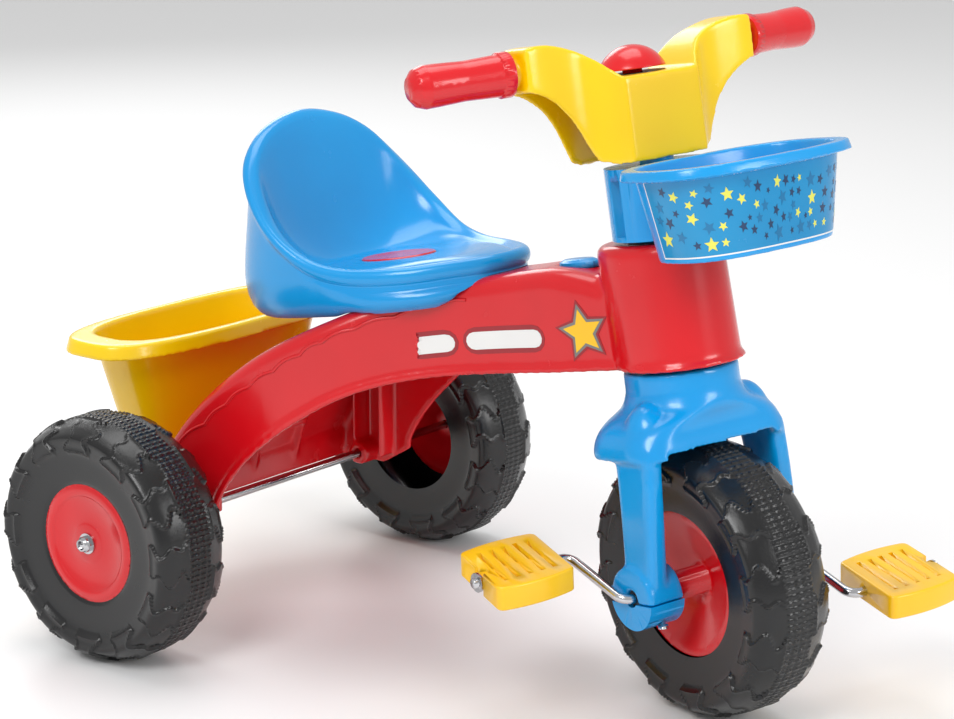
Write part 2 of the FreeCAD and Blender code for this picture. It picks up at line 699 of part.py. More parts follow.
# ---------------------------------------------------------------- front wheel and crank
def front_tyre():
    """Blow-moulded front wheel, open on both sides."""
    outside = tyre_points(FRONT_WHEEL_R, FRONT_HUB_R)
    inside = tyre_inside(FRONT_WHEEL_R, FRONT_HUB_R)
    profile = [(r, -y) for r, y in reversed(outside)] + outside
    profile += list(reversed(inside)) + [(r, -y) for r, y in inside]
    return turned_y(profile)


def front_hub():
    """Deep conical hub half on the left side, upright."""
    bore = ROD_R + 0.03
    rim = FRONT_HUB_R
    return turned_y([(bore, 0.15), (WHEEL_BOSS_R, 0.15), (WHEEL_BOSS_R, 5.0), (rim - 3, 23.0), (rim, 23.0),
                     (rim, 28.0), (rim - 3, 28.0), (WHEEL_BOSS_R + 3, 9.0), (WHEEL_BOSS_R, 9.0),
                     (WHEEL_BOSS_R, 40.0), (bore, 40.0)])


def arm_direction():
    """Unit vector from the axle to the right pedal's pin, upright at rest."""
    angle = math.radians(180 - CRANK_ANGLE - RAKE)
    return V(math.cos(angle), 0, math.sin(angle))


def crank_half(side):
    """One side of the crank wire: axle, bend, arm, bend and pedal pin."""
    direction = arm_direction() if side < 0 else arm_direction() * -1
    pin = direction * CRANK_THROW
    y_arm = side * CRANK_Y
    end = side * (PEDAL_INSIDE + PEDAL_LENGTH + 6)
    corners = [V(0, 0, 0), V(0, y_arm, 0), pin + V(0, y_arm, 0), pin + V(0, end, 0)]
    return bent_rod(corners, ROD_R, CRANK_BEND_R)


def bent_rod(corners, radius, bend):
    """A round rod along straight runs joined by tangent arcs."""
    edges = []
    start = corners[0]
    for before, corner, after in zip(corners, corners[1:], corners[2:]):
        into = (before - corner).normalize()
        out = (after - corner).normalize()
        half = into.getAngle(out) / 2
        cut = bend / math.tan(half)
        first = corner + into * cut
        last = corner + out * cut
        centre = corner + (into + out).normalize() * (bend / math.sin(half))
        middle = centre + (corner - centre).normalize() * bend
        edges.append(Part.makeLine(start, first))
        edges.append(Part.Arc(first, middle, last).toShape())
        start = last
    edges.append(Part.makeLine(start, corners[-1]))
    path = Part.Wire(edges)
    direction = corners[1] - corners[0]
    ring = Part.Wire([Part.makeCircle(radius, corners[0], direction)])
    return path.makePipeShell([ring], True, False)


def crank():
    """The one-piece wire that is both front axle and cranks."""
    return crank_half(1).fuse(crank_half(-1)).removeSplitter()


def pedal_clips():
    """A push-on clip outside each pedal."""
    clips = []
    for side in (-1, 1):
        direction = arm_direction() if side < 0 else arm_direction() * -1
        pin = direction * CRANK_THROW
        start = PEDAL_INSIDE + PEDAL_LENGTH + 0.6
        low = start if side > 0 else -start - 2.0
        ring = rod_y(pin.x, pin.z, low, low + 2.0, 8.0)
        clips.append(ring.cut(rod_y(pin.x, pin.z, low - 1, low + 3, ROD_R + 0.03)))
    return Part.makeCompound(clips)


def pedal():
    """A slotted pedal block for the left side, its pin hole along Y at the origin."""
    y0 = PEDAL_INSIDE
    y1 = PEDAL_INSIDE + PEDAL_LENGTH
    half = PEDAL_DEPTH / 2
    middle = (y0 + y1) / 2
    back = [V(-half, y0 + PEDAL_SKEW, 0), V(-half - PEDAL_BULGE, middle + PEDAL_SKEW, 0),
            V(-half, y1 + PEDAL_SKEW, 0)]
    front = [V(half, y0 - PEDAL_SKEW, 0), V(half + PEDAL_BULGE, middle - PEDAL_SKEW, 0),
             V(half, y1 - PEDAL_SKEW, 0)]
    edges = [Part.Arc(*back).toShape(), Part.makeLine(back[2], front[2]),
             Part.Arc(*front).toShape(), Part.makeLine(front[0], back[0])]
    body = prism(edges, V(0, 0, PEDAL_HEIGHT))
    body.translate(V(0, 0, -PEDAL_HEIGHT / 2))
    body = body.makeFillet(6.0, [e for e in body.Edges if abs(e.BoundBox.ZLength - PEDAL_HEIGHT) < 0.1])
    rim = [e for e in body.Edges if e.BoundBox.ZLength < 0.1]
    body = body.makeFillet(2.0, rim)
    pitch = (PEDAL_LENGTH - 2 * PEDAL_RIM + PEDAL_SLOT_WIDTH) / PEDAL_SLOTS
    for i in range(PEDAL_SLOTS):
        y = y0 + PEDAL_RIM + i * pitch
        reach = half - PEDAL_RIM
        shear = PEDAL_SKEW * reach / half
        width = pitch - PEDAL_SLOT_WIDTH
        corners = [V(-reach, y + shear, 0), V(reach, y - shear, 0), V(reach, y + width - shear, 0),
                   V(-reach, y + width + shear, 0)]
        slot = Part.Face(Part.makePolygon(corners + corners[:1])).extrude(V(0, 0, 2 * PEDAL_HEIGHT))
        slot.translate(V(0, 0, -PEDAL_HEIGHT))
        body = body.cut(slot)
    notch = rod_z(0, y1 + 1, -PEDAL_HEIGHT, PEDAL_HEIGHT, 9.0)
    core = rod_y(0, 0, y0 - 2, y1 - 0.2, ROD_R + 3.2)
    body = body.cut(notch).fuse(core.common(block(-20, 20, y0 + 0.5, y1 - 0.5, -20, 20)))
    return body.cut(rod_y(0, 0, y0 - 30, y1 + 30, ROD_R + RUN_GAP))


def placed_pedal(side):
    """A pedal on its pin: the same moulding serves both sides, turned half round."""
    direction = arm_direction() if side < 0 else arm_direction() * -1
    pin = direction * CRANK_THROW
    shape = pedal()
    if side < 0:
        shape.rotate(ORIGIN, V(0, 0, 1), 180)
    shape.rotate(ORIGIN, V(0, 1, 0), RAKE)
    shape.translate(pin)
    return shape


# ---------------------------------------------------------------- fork
def leg_wire(s, back, front, inside, outside):
    """A fork leg's section at height s."""
    wire = rounded_wire(back, front, (outside - inside) / 2, s, 6.0)
    wire.translate(V(0, (inside + outside) / 2, 0))
    return wire


def fork_crown():
    """The mudguard: swells from the round shoulder to a broad rounded skirt."""
    r = FORK_SHOULDER_R
    rows = [(0.0, 0, 0, 0, 26.0), (12.0, 1, -2, -1, 28.0), (27.0, 0, -1, -11, 34.0)]
    wires = []
    for rise, back, front, side, corner in rows:
        wires.append(rounded_wire(SHOULDER_U - CROWN_BACK - back + 4, CROWN_FRONT + front,
                                  CROWN_HALF_WIDTH + side, CROWN_BOTTOM + rise, corner))
    wires.append(rounded_wire(SHOULDER_U - r - 1, SHOULDER_U + r + 1, r + 5, CROWN_TOP - 5, r))
    wires.append(rounded_wire(SHOULDER_U - r, SHOULDER_U + r, r + 1.0, CROWN_TOP + 3, r - 1.0))
    return loft(wires)


def fork_leg():
    """The left leg: a rounded bar that ends in a dome on the mudguard's flank."""
    rows = [(0, -13, 24, 0, 0), (60, -10, 31, -1, -2), (CROWN_BOTTOM + 10, -14, 34, -4, -7)]
    wires = [leg_wire(s, back, front, LEG_INSIDE + inside, LEG_OUTSIDE + outside)
             for s, back, front, inside, outside in rows]
    ball = Part.makeSphere(21.0, V(15, 0, 0))
    stretch = FreeCAD.Matrix()
    stretch.scale(1, 1, 1.6)
    dome = ball.transformGeometry(stretch)
    dome.translate(V(-5, LEG_OUTSIDE - 7 - 21, CROWN_BOTTOM + 10))
    dome = dome.common(block(-80, 80, 0, 100, CROWN_BOTTOM + 9.5, 200))
    return loft(wires).fuse(dome)


def fork_whole():
    """Stem, mudguard and legs before the bores and the foot split, upright."""
    stem = rod_z(0, 0, CROWN_TOP, HEAD_TOP + 1, STEM_R).fuse(rod_z(0, 0, HEAD_TOP, BAR_DECK - 12, NECK_R))
    shoulder = rod_z(SHOULDER_U, 0, CROWN_TOP - 8, FORK_SHOULDER_TOP, FORK_SHOULDER_R)
    foot = rod_y(0, 0, FOOT_INSIDE, FOOT_OUTSIDE, FOOT_R)
    body = fork_crown().fuse(shoulder).fuse(stem)
    leg = fork_leg()
    for piece in (leg, foot):
        body = body.fuse(piece).fuse(mirrored(piece))
    arch_r = FRONT_WHEEL_R + ARCH_CLEARANCE
    arch = rod_y(0, 0, -ARCH_HALF_WIDTH, ARCH_HALF_WIDTH, arch_r)
    body = body.cut(arch.common(block(-200, 200, -200, 200, FOOT_R + 30, 300)))
    return body.cut(rod_y(0, 0, -100, 100, ROD_R + FOOT_BUSH_WALL))


def fork():
    """Fork with its mudguard and stem, cut off under the axle for the foot caps."""
    body = fork_whole().cut(block(-60, 60, -100, 100, -60, FOOT_SPLIT))
    body = body.cut(rod_z(0, 0, CROWN_TOP + 10, HEAD_TOP - 5, STEM_R - 5))
    body = body.cut(rod_z(0, 0, HEAD_TOP - 6, BAR_DECK, NECK_R - 4)).cut(bolt_hole())
    for u, y in foot_screw_places():
        body = body.cut(rod_z(u, y, -30, 14.5, SCREW_R + 0.1))
    return body.removeSplitter()


def foot_cap():
    """The lower half of the left foot's bearing."""
    body = rod_y(0, 0, FOOT_INSIDE, FOOT_OUTSIDE, FOOT_R)
    body = body.cut(rod_y(0, 0, 0, 100, ROD_R + FOOT_BUSH_WALL))
    body = body.common(block(-60, 60, 0, 100, -60, FOOT_SPLIT - FIT_GAP))
    for u, y in foot_screw_places():
        if y > 0:
            body = body.cut(rod_z(u, y, -30, 20, SCREW_R + 0.1))
    return body


def foot_screw_places():
    """Where the four foot cap screws go, as (u, y)."""
    middle = (FOOT_INSIDE + FOOT_OUTSIDE) / 2
    return [(u, y) for y in (-middle, middle) for u in (-FOOT_SCREW_U, FOOT_SCREW_U)]


def foot_screws():
    """Four screws up through the foot caps."""
    low = -math.sqrt(FOOT_R ** 2 - (FOOT_SCREW_U - SCREW_HEAD_R) ** 2) - SCREW_HEAD_T - 0.1
    return Part.makeCompound([screw(u, y, low, 14.0) for u, y in foot_screw_places()])


def foot_bushes():
    """Nylon bushes that the crank wire turns in."""
    ring = rod_y(0, 0, FOOT_INSIDE, FOOT_OUTSIDE - FOOT_BUSH_SHORT, ROD_R + FOOT_BUSH_WALL - 0.03)
    ring = ring.cut(rod_y(0, 0, 0, 100, ROD_R + RUN_GAP))
    return Part.makeCompound([ring, mirrored(ring)])


# ---------------------------------------------------------------- handlebar, horn and grips
def bar_front_outline():
    """The handlebar seen from the front, as a prism along the steering drawing's X."""
    half_low = [V(0, 56, 347), V(0, 63, 361), V(0, 73, 380), V(0, 90, 398), V(0, BAR_ARM_END, 409)]
    half_high = [V(0, BAR_ARM_END, BAR_ARM_TOP), V(0, 92, 444), V(0, 74, 440), V(0, 60, 434),
                 V(0, 46, 423), V(0, BAR_DECK_HALF, BAR_DECK)]
    corners = [V(0, 0, BAR_BOTTOM), V(0, 44, BAR_BOTTOM), half_low[0]]
    edges = [Part.makeLine(a, b) for a, b in zip(corners, corners[1:])]
    edges.append(spline(half_low))
    edges.append(Part.makeLine(half_low[-1], half_high[0]))
    edges.append(spline(half_high))
    edges.append(Part.makeLine(half_high[-1], V(0, 0, BAR_DECK)))
    edges.append(Part.makeLine(V(0, 0, BAR_DECK), V(0, 0, BAR_BOTTOM)))
    half = prism(edges, V(140, 0, 0))
    half.translate(V(-80, 0, 0))
    return half.fuse(mirrored(half)).removeSplitter()


def bar_plan(inset):
    """The handlebar seen from above, as a tall prism."""
    end = BAR_ARM_END + 5
    panel = V(BAR_FRONT - inset, 0, 0)
    fold = V(BAR_FRONT - inset, 37 - inset / 2, 0)
    front = [fold, V(8 - inset, 47, 0), V(-inset, 60, 0), V(-1 - inset, 80, 0), V(-1.5 - inset, end, 0)]
    back = [V(-35.5 + inset, end, 0), V(-34 + inset, 75, 0), V(-42 + inset, 45, 0),
            V(-BAR_BACK + 2 + inset, 26, 0), V(-BAR_BACK + inset, 0, 0)]
    edges = [Part.makeLine(panel, fold), spline(front), Part.makeLine(front[-1], back[0]),
             spline(back), Part.makeLine(back[-1], panel)]
    half = prism(edges, V(0, 0, 200))
    half.translate(V(0, 0, 300))
    return half.fuse(mirrored(half)).removeSplitter()


def handlebar():
    """Moulded handlebar: a hollow console with two arms, open below."""
    outline = bar_front_outline()
    outer = outline.common(bar_plan(0))
    inner = outline.copy()
    inner.translate(V(0, 0, -BAR_WALL))
    inner = inner.fuse(outline.copy().translate(V(0, 0, -BAR_WALL * 2.5)))
    inner = inner.common(bar_plan(BAR_WALL)).common(block(-90, 90, -BAR_ARM_END + 3, BAR_ARM_END - 3, 300, 500))
    deck = block(-90, 90, -BAR_DECK_HALF - 9, BAR_DECK_HALF + 9, BAR_DECK - BAR_WALL, 500)
    body = outer.cut(inner.cut(deck))
    socket = rod_z(0, 0, BAR_BOTTOM + 3, BAR_DECK - 1, NECK_R + 4)
    body = body.fuse(socket)
    for side in (-1, 1):
        body = body.fuse(grip_solid(side, GRIP_PEG_R, GRIP_LENGTH - 10, -12))
    body = body.cut(rod_z(0, 0, BAR_BOTTOM - 10, BAR_DECK - 8, NECK_R + FIT_GAP)).cut(bolt_hole())
    body = body.cut(rod_z(HORN_U, 0, BAR_DECK - 30, BAR_DECK + 5, HORN_STEM_R + 0.5))
    return body.removeSplitter()


def grip_frame(side):
    """Start point and outward direction of a grip."""
    sweep = math.radians(GRIP_SWEEP)
    return V(GRIP_AXIS_U, side * BAR_ARM_END, GRIP_AXIS_S), V(-math.sin(sweep), side * math.cos(sweep), 0)


def grip_solid(side, radius, length, start=0.0):
    """A cylinder along a grip's axis."""
    base, direction = grip_frame(side)
    return Part.makeCylinder(radius, length - start, base + direction * start, direction)


def grip(side):
    """A round hand grip with a collar inside and a full, rounded end."""
    profile = [(0, GRIP_START), (GRIP_R + 0.6, GRIP_START), (GRIP_R + 1.0, GRIP_START + 1.2),
               (GRIP_R + 1.0, 13), (GRIP_R - 0.4, 14.2), (GRIP_R - 0.6, 20),
               (GRIP_R - 1.4, 42), (GRIP_R - 0.2, 66), (GRIP_R, 76), (GRIP_R - 2.5, 83.5),
               (GRIP_R - 8, GRIP_LENGTH), (0, GRIP_LENGTH)]
    shape = turned_z(profile)
    base, direction = grip_frame(side)
    shape.rotate(ORIGIN, V(1, 0, 0), -90 * side)
    shape.rotate(ORIGIN, V(0, 0, 1), GRIP_SWEEP * side)
    shape.translate(base)
    return shape.cut(grip_solid(side, GRIP_PEG_R + 0.05, GRIP_LENGTH - 9.5))


def horn_button():
    """The squeaker's dome, which presses down into the deck."""
    lift = HORN_TRAVEL + 0.8
    ball = (HORN_R ** 2 + HORN_HEIGHT ** 2) / (2 * HORN_HEIGHT)
    dome = Part.makeSphere(ball, V(HORN_U, 0, BAR_DECK + lift + HORN_HEIGHT - ball - 2))
    dome = dome.common(rod_z(HORN_U, 0, BAR_DECK + lift, BAR_DECK + 60, HORN_R))
    stem = rod_z(HORN_U, 0, BAR_DECK - 6.5, BAR_DECK + lift + 1, HORN_STEM_R)
    return dome.fuse(stem)


def horn_seat():
    """A low ring on the deck that the dome comes down on."""
    ring = rod_z(HORN_U, 0, BAR_DECK + 0.02, BAR_DECK + 0.5, HORN_R - 1.5)
    return ring.cut(rod_z(HORN_U, 0, BAR_DECK - 1, BAR_DECK + 3, HORN_STEM_R + 0.5))


def bolt_rod(radius, start, end):
    """A round bar along the handlebar bolt's axis."""
    return Part.makeCylinder(radius, end - start, V(start, 0, BAR_BOTTOM + 22), V(1, 0, 0))


def bolt_hole():
    """The clearance hole for the handlebar bolt."""
    return bolt_rod(BOLT_R + 0.1, -NECK_R - 12, NECK_R + 3)


def bar_bolt():
    """The cross screw that holds the handlebar on the stem, from behind."""
    back = -NECK_R - 4 - FIT_GAP
    return bolt_rod(BOLT_R, back, NECK_R + 2.5).fuse(bolt_rod(2 * BOLT_R, back - 3.5, back))


# ---------------------------------------------------------------- basket
def basket():
    """Front basket: a tapered tub with a rolled rim, ahead of the steering column."""
    power = 2.7
    outer, inner = tub(BASKET_BOTTOM + BASKET_WALL, BASKET_TOP, BASKET_FLOOR, BASKET_MOUTH, BASKET_WALL, power)
    rim_low = BASKET_TOP - BASKET_RIM_T
    rim = loft([superellipse(0, rim_low, BASKET_RIM[0], BASKET_RIM[1], power),
                superellipse(0, BASKET_TOP, BASKET_RIM[0] - 2, BASKET_RIM[1] - 2, power)])
    body = outer.fuse(rim).cut(inner)
    body.translate(V(BASKET_CENTRE_U, 0, 0))
    body = body.cut(rod_z(0, 0, BASKET_BOTTOM - 5, BASKET_TOP + 5, COLLAR_R + FIT_GAP))
    return body.removeSplitter()


def collar():
    """The bracket round the steering column that carries the basket."""
    ring = rod_z(0, 0, COLLAR_BOTTOM, COLLAR_TOP, COLLAR_R)
    groove = block(-COLLAR_R - 5, -COLLAR_R * 0.25, -COLLAR_R - 5, -COLLAR_R * 0.62, COLLAR_BOTTOM + 4, COLLAR_TOP - 9)
    for y in (-1, 1):
        cut = groove if y < 0 else mirrored(groove)
        cut.translate(V(COLLAR_R * 0.5, 0, 0))
        ring = ring.cut(cut.common(block(-8, 4, -100, 100, 0, 500)))
    return ring.cut(rod_z(0, 0, COLLAR_BOTTOM - 1, COLLAR_TOP + 1, NECK_R + FIT_GAP))


# ---------------------------------------------------------------- assembly
def build_nodes():
    """Every node's shape by name, with x = 0 still at the rear axle."""
    nodes = {
        "frame_shell": frame_shell(),
        "beam_cap": beam_cap(),
        "head_bush_lower": tilt(head_bush(HEAD_BOTTOM + 10)),
        "head_bush_upper": tilt(head_bush(HEAD_TOP - BUSH_HEIGHT)),
        "rear_axle": rear_axle(),
        "axle_spacer_tubes": axle_tubes(),
        "axle_washers": axle_washers(),
        "axle_lock_nuts": axle_nuts(),
        "seat": seat(),
        "seat_insert": seat_insert(),
        "seat_screws": seat_screws(),
        "bucket": bucket(),
        "bucket_screws": bucket_screws(),
        "fork": steer(fork()),
        "foot_cap_left": steer(foot_cap()),
        "foot_cap_right": steer(mirrored(foot_cap())),
        "foot_cap_screws": steer(foot_screws()),
        "foot_bushes": steer(foot_bushes()),
        "basket": steer(basket()),
        "basket_collar": steer(collar()),
        "handlebar": steer(handlebar()),
        "handlebar_bolt": steer(bar_bolt()),
        "grip_left": steer(grip(1)),
        "grip_right": steer(grip(-1)),
        "horn_seat": steer(horn_seat()),
        "horn_button": steer(horn_button()),
        "front_tyre": steer(front_tyre()),
        "front_hub_left": steer(front_hub()),
        "front_hub_right": steer(mirrored(front_hub())),
        "crank": steer(crank()),
        "pedal_clips": steer(pedal_clips()),
        "pedal_left": steer(placed_pedal(1)),
        "pedal_right": steer(placed_pedal(-1)),
    }
    for side, name in ((1, "left"), (-1, "right")):
        tyre, hub = rear_wheel_pieces(side)
        nodes["rear_tyre_" + name] = tyre
        nodes["rear_hub_" + name] = hub
    return nodes


def origin_shift(nodes):
    """How far everything moves along X to centre its bounding box on the origin."""
    boxes = [shape.optimalBoundingBox(False, False) for shape in nodes.values()]
    low = min(box.XMin for box in boxes)
    high = max(box.XMax for box in boxes)
    return -(low + high) / 2


def main():
    """Build every node, centre the whole and write one STEP file each."""
    os.makedirs("parts", exist_ok=True)
    nodes = build_nodes()
    shift = origin_shift(nodes)
    print("shift", round(shift, 4))
    for name, shape in nodes.items():
        shape.translate(V(shift, 0, 0))
        shape.exportStep("parts/" + name + ".step")
        count = len(shape.Solids)
        print(name, "solids", count, "valid", shape.isValid(), "cm3", round(shape.Volume / 1000, 1))


if __name__ == "__main__":
    main()
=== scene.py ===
"""Looks for a children's tricycle: moulded plastic, patterned tyres, labels and a plain studio."""
from __future__ import annotations

import json
import logging
import math
from dataclasses import dataclass
from enum import Enum

import bmesh
import bpy
import numpy as np
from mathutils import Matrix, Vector
from mathutils.bvhtree import BVHTree

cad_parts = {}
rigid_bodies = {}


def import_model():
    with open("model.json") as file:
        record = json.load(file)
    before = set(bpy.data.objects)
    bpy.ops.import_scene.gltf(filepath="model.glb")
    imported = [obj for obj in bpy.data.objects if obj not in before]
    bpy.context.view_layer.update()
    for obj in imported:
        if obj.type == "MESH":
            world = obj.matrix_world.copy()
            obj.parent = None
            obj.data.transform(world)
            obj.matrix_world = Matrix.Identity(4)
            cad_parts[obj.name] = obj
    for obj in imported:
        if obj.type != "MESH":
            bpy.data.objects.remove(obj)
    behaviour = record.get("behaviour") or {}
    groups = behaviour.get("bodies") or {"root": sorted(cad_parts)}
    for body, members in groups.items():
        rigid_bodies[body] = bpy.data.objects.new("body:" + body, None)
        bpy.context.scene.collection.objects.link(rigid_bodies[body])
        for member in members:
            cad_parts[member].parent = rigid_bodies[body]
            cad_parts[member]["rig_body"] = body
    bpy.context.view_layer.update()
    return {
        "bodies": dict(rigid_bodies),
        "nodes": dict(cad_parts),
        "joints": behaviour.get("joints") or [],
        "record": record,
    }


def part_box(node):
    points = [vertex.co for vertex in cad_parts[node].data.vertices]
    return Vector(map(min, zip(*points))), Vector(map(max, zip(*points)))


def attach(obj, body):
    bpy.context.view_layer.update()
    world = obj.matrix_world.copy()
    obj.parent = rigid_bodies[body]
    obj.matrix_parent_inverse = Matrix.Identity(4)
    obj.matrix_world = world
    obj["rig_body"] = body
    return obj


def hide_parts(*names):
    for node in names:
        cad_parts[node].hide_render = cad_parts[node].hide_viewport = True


LOG = logging.getLogger("tricycle")
MM = 0.001
MERGE_DISTANCE = 1e-6
FACE_LIMIT = 88000


class Side(Enum):
    """The rider's left or right."""

    LEFT = 1
    RIGHT = -1

    @property
    def word(self) -> str:
        """The side's name in lower case."""
        return self.name.lower()


# ---------------------------------------------------------------- shader groups
def new_group(name: str, inputs: dict[str, float], outputs: list[str]) -> bpy.types.NodeTree:
    """Make an empty shader group with float inputs and outputs.

    Args:
        name: the group's name.
        inputs: input socket names with their defaults.
        outputs: output socket names.

    Returns:
        The new node tree.
    """
    group = bpy.data.node_groups.new(name, "ShaderNodeTree")
    for socket_name, default in inputs.items():
        socket = group.interface.new_socket(socket_name, in_out="INPUT", socket_type="NodeSocketFloat")
        socket.default_value = default
    for socket_name in outputs:
        group.interface.new_socket(socket_name, in_out="OUTPUT", socket_type="NodeSocketFloat")
    return group


def ramp_between(tree: bpy.types.NodeTree, source: bpy.types.NodeSocket,
                 low: tuple[float, float], high: tuple[float, float]) -> bpy.types.NodeSocket:
    """Map a value from one range onto another.

    Args:
        tree: the node tree.
        source: the value.
        low: the range it has.
        high: the range it gets.

    Returns:
        The mapped value's socket.
    """
    node = tree.nodes.new("ShaderNodeMapRange")
    node.inputs["From Min"].default_value, node.inputs["From Max"].default_value = low
    node.inputs["To Min"].default_value, node.inputs["To Max"].default_value = high
    tree.links.new(source, node.inputs["Value"])
    return node.outputs["Result"]


def build_mould_grain() -> bpy.types.NodeTree:
    """Build the group for moulded plastic: flow clouds, fine skin texture and rub marks.

    Returns:
        The group, with outputs Cloud, Skin and Rub.
    """
    group = new_group("MouldGrain", {"Cloud Scale": 7.0, "Skin Scale": 900.0, "Rub Scale": 38.0},
                      ["Cloud", "Skin", "Rub"])
    enter = group.nodes.new("NodeGroupInput")
    leave = group.nodes.new("NodeGroupOutput")
    place = group.nodes.new("ShaderNodeTexCoord")
    for output, scale, detail, low in (("Cloud", "Cloud Scale", 3.0, (0.35, 0.65)),
                                       ("Skin", "Skin Scale", 2.0, (0.3, 0.7)),
                                       ("Rub", "Rub Scale", 6.0, (0.62, 0.78))):
        noise = group.nodes.new("ShaderNodeTexNoise")
        noise.inputs["Detail"].default_value = detail
        group.links.new(place.outputs["Object"], noise.inputs["Vector"])
        group.links.new(enter.outputs[scale], noise.inputs["Scale"])
        group.links.new(ramp_between(group, noise.outputs["Fac"], low, (0.0, 1.0)), leave.inputs[output])
    return group


def build_dust() -> bpy.types.NodeTree:
    """Build the group for dust that settles on faces that look up.

    Returns:
        The group, with output Dust.
    """
    group = new_group("SettledDust", {"Amount": 0.2}, ["Dust"])
    enter = group.nodes.new("NodeGroupInput")
    leave = group.nodes.new("NodeGroupOutput")
    geometry = group.nodes.new("ShaderNodeNewGeometry")
    split = group.nodes.new("ShaderNodeSeparateXYZ")
    group.links.new(geometry.outputs["Normal"], split.inputs["Vector"])
    facing = ramp_between(group, split.outputs["Z"], (0.2, 1.0), (0.0, 1.0))
    noise = group.nodes.new("ShaderNodeTexNoise")
    noise.inputs["Scale"].default_value = 55.0
    place = group.nodes.new("ShaderNodeTexCoord")
    group.links.new(place.outputs["Object"], noise.inputs["Vector"])
    patch = group.nodes.new("ShaderNodeMath")
    patch.operation = "MULTIPLY"
    group.links.new(facing, patch.inputs[0])
    group.links.new(noise.outputs["Fac"], patch.inputs[1])
    scaled = group.nodes.new("ShaderNodeMath")
    scaled.operation = "MULTIPLY"
    group.links.new(patch.outputs[0], scaled.inputs[0])
    group.links.new(enter.outputs["Amount"], scaled.inputs[1])
    group.links.new(scaled.outputs[0], leave.inputs["Dust"])
    return group


# ---------------------------------------------------------------- finishes
@dataclass(frozen=True)
class Finish:
    """A procedural finish: two close colours, a gloss range and a skin texture."""

    name: str
    slot: str
    colour: tuple[float, float, float]
    deep: tuple[float, float, float]
    rough: tuple[float, float]
    skin: float = 0.06
    skin_scale: float = 900.0
    coat: float = 0.25
    metal: float = 0.0
    dust: float = 0.0

    def build(self) -> bpy.types.Material:
        """Make the material, or return it if it is already made."""
        made = bpy.data.materials.get(self.name)
        if made:
            return made
        material = bpy.data.materials.new(self.name)
        material.use_nodes = True
        tree = material.node_tree
        shader = tree.nodes["Principled BSDF"]
        grain = tree.nodes.new("ShaderNodeGroup")
        grain.node_tree = bpy.data.node_groups["MouldGrain"]
        grain.inputs["Skin Scale"].default_value = self.skin_scale
        mix = tree.nodes.new("ShaderNodeMix")
        mix.data_type = "RGBA"
        mix.inputs["A"].default_value = (*self.colour, 1.0)
        mix.inputs["B"].default_value = (*self.deep, 1.0)
        tree.links.new(grain.outputs["Cloud"], mix.inputs["Factor"])
        colour = mix.outputs["Result"]
        if self.dust:
            colour = self.add_dust(tree, colour)
        tree.links.new(colour, shader.inputs["Base Color"])
        tree.links.new(ramp_between(tree, grain.outputs["Rub"], (0.0, 1.0), self.rough),
                       shader.inputs["Roughness"])
        bump = tree.nodes.new("ShaderNodeBump")
        bump.inputs["Strength"].default_value = self.skin
        bump.inputs["Distance"].default_value = 0.4 * MM
        tree.links.new(grain.outputs["Skin"], bump.inputs["Height"])
        tree.links.new(bump.outputs["Normal"], shader.inputs["Normal"])
        shader.inputs["Coat Weight"].default_value = self.coat
        shader.inputs["Coat Roughness"].default_value = 0.12
        shader.inputs["Metallic"].default_value = self.metal
        return material

    def add_dust(self, tree: bpy.types.NodeTree, colour: bpy.types.NodeSocket) -> bpy.types.NodeSocket:
        """Lay pale dust over a colour.

        Args:
            tree: the material's node tree.
            colour: the colour under the dust.

        Returns:
            The dusted colour's socket.
        """
        dust = tree.nodes.new("ShaderNodeGroup")
        dust.node_tree = bpy.data.node_groups["SettledDust"]
        dust.inputs["Amount"].default_value = self.dust
        over = tree.nodes.new("ShaderNodeMix")
        over.data_type = "RGBA"
        over.inputs["B"].default_value = (0.32, 0.31, 0.29, 1.0)
        tree.links.new(colour, over.inputs["A"])
        tree.links.new(dust.outputs["Dust"], over.inputs["Factor"])
        return over.outputs["Result"]


RED = Finish("red_polythene", "red_plastic", (0.72, 0.004, 0.010), (0.62, 0.003, 0.008), (0.22, 0.34))
BLUE = Finish("blue_polythene", "blue_plastic", (0.0, 0.330, 0.76), (0.0, 0.285, 0.68), (0.22, 0.34))
YELLOW = Finish("yellow_polythene", "yellow_plastic", (0.98, 0.66, 0.0), (0.95, 0.58, 0.0), (0.22, 0.34))
AMBER = Finish("amber_pedal_plastic", "yellow_plastic", (1.0, 0.60, 0.004), (0.94, 0.52, 0.002), (0.32, 0.46))
BLACK = Finish("black_blown_tyre", "black_tyre", (0.0042, 0.0042, 0.005), (0.003, 0.003, 0.0034),
               (0.24, 0.36), skin=0.16, skin_scale=1400.0, coat=0.12, dust=0.03)
DARK = Finish("dark_nylon", "dark_plastic", (0.02, 0.02, 0.022), (0.014, 0.014, 0.015), (0.4, 0.6), coat=0.0)
STEEL = Finish("bright_zinc_steel", "bright_steel", (0.66, 0.66, 0.67), (0.56, 0.56, 0.58), (0.16, 0.34),
               skin=0.10, skin_scale=600.0, coat=0.0, metal=1.0)
LABEL_BLUE = Finish("label_print_blue", "blue_plastic", (0.0, 0.27, 0.56), (0.0, 0.23, 0.50), (0.22, 0.30),
                    skin=0.01)
LABEL_NAVY = Finish("label_print_navy", "blue_plastic", (0.006, 0.045, 0.13), (0.005, 0.035, 0.10),
                    (0.22, 0.30), skin=0.01)
LABEL_TEAL = Finish("label_print_teal", "blue_plastic", (0.0, 0.17, 0.38), (0.0, 0.15, 0.34), (0.22, 0.30),
                    skin=0.01)
LABEL_LEMON = Finish("label_print_lemon", "yellow_plastic", (0.80, 0.76, 0.10), (0.66, 0.70, 0.12),
                     (0.22, 0.30), skin=0.01)
LABEL_WHITE = Finish("label_print_white", "yellow_plastic", (0.86, 0.86, 0.84), (0.80, 0.80, 0.79),
                     (0.22, 0.30), skin=0.01)
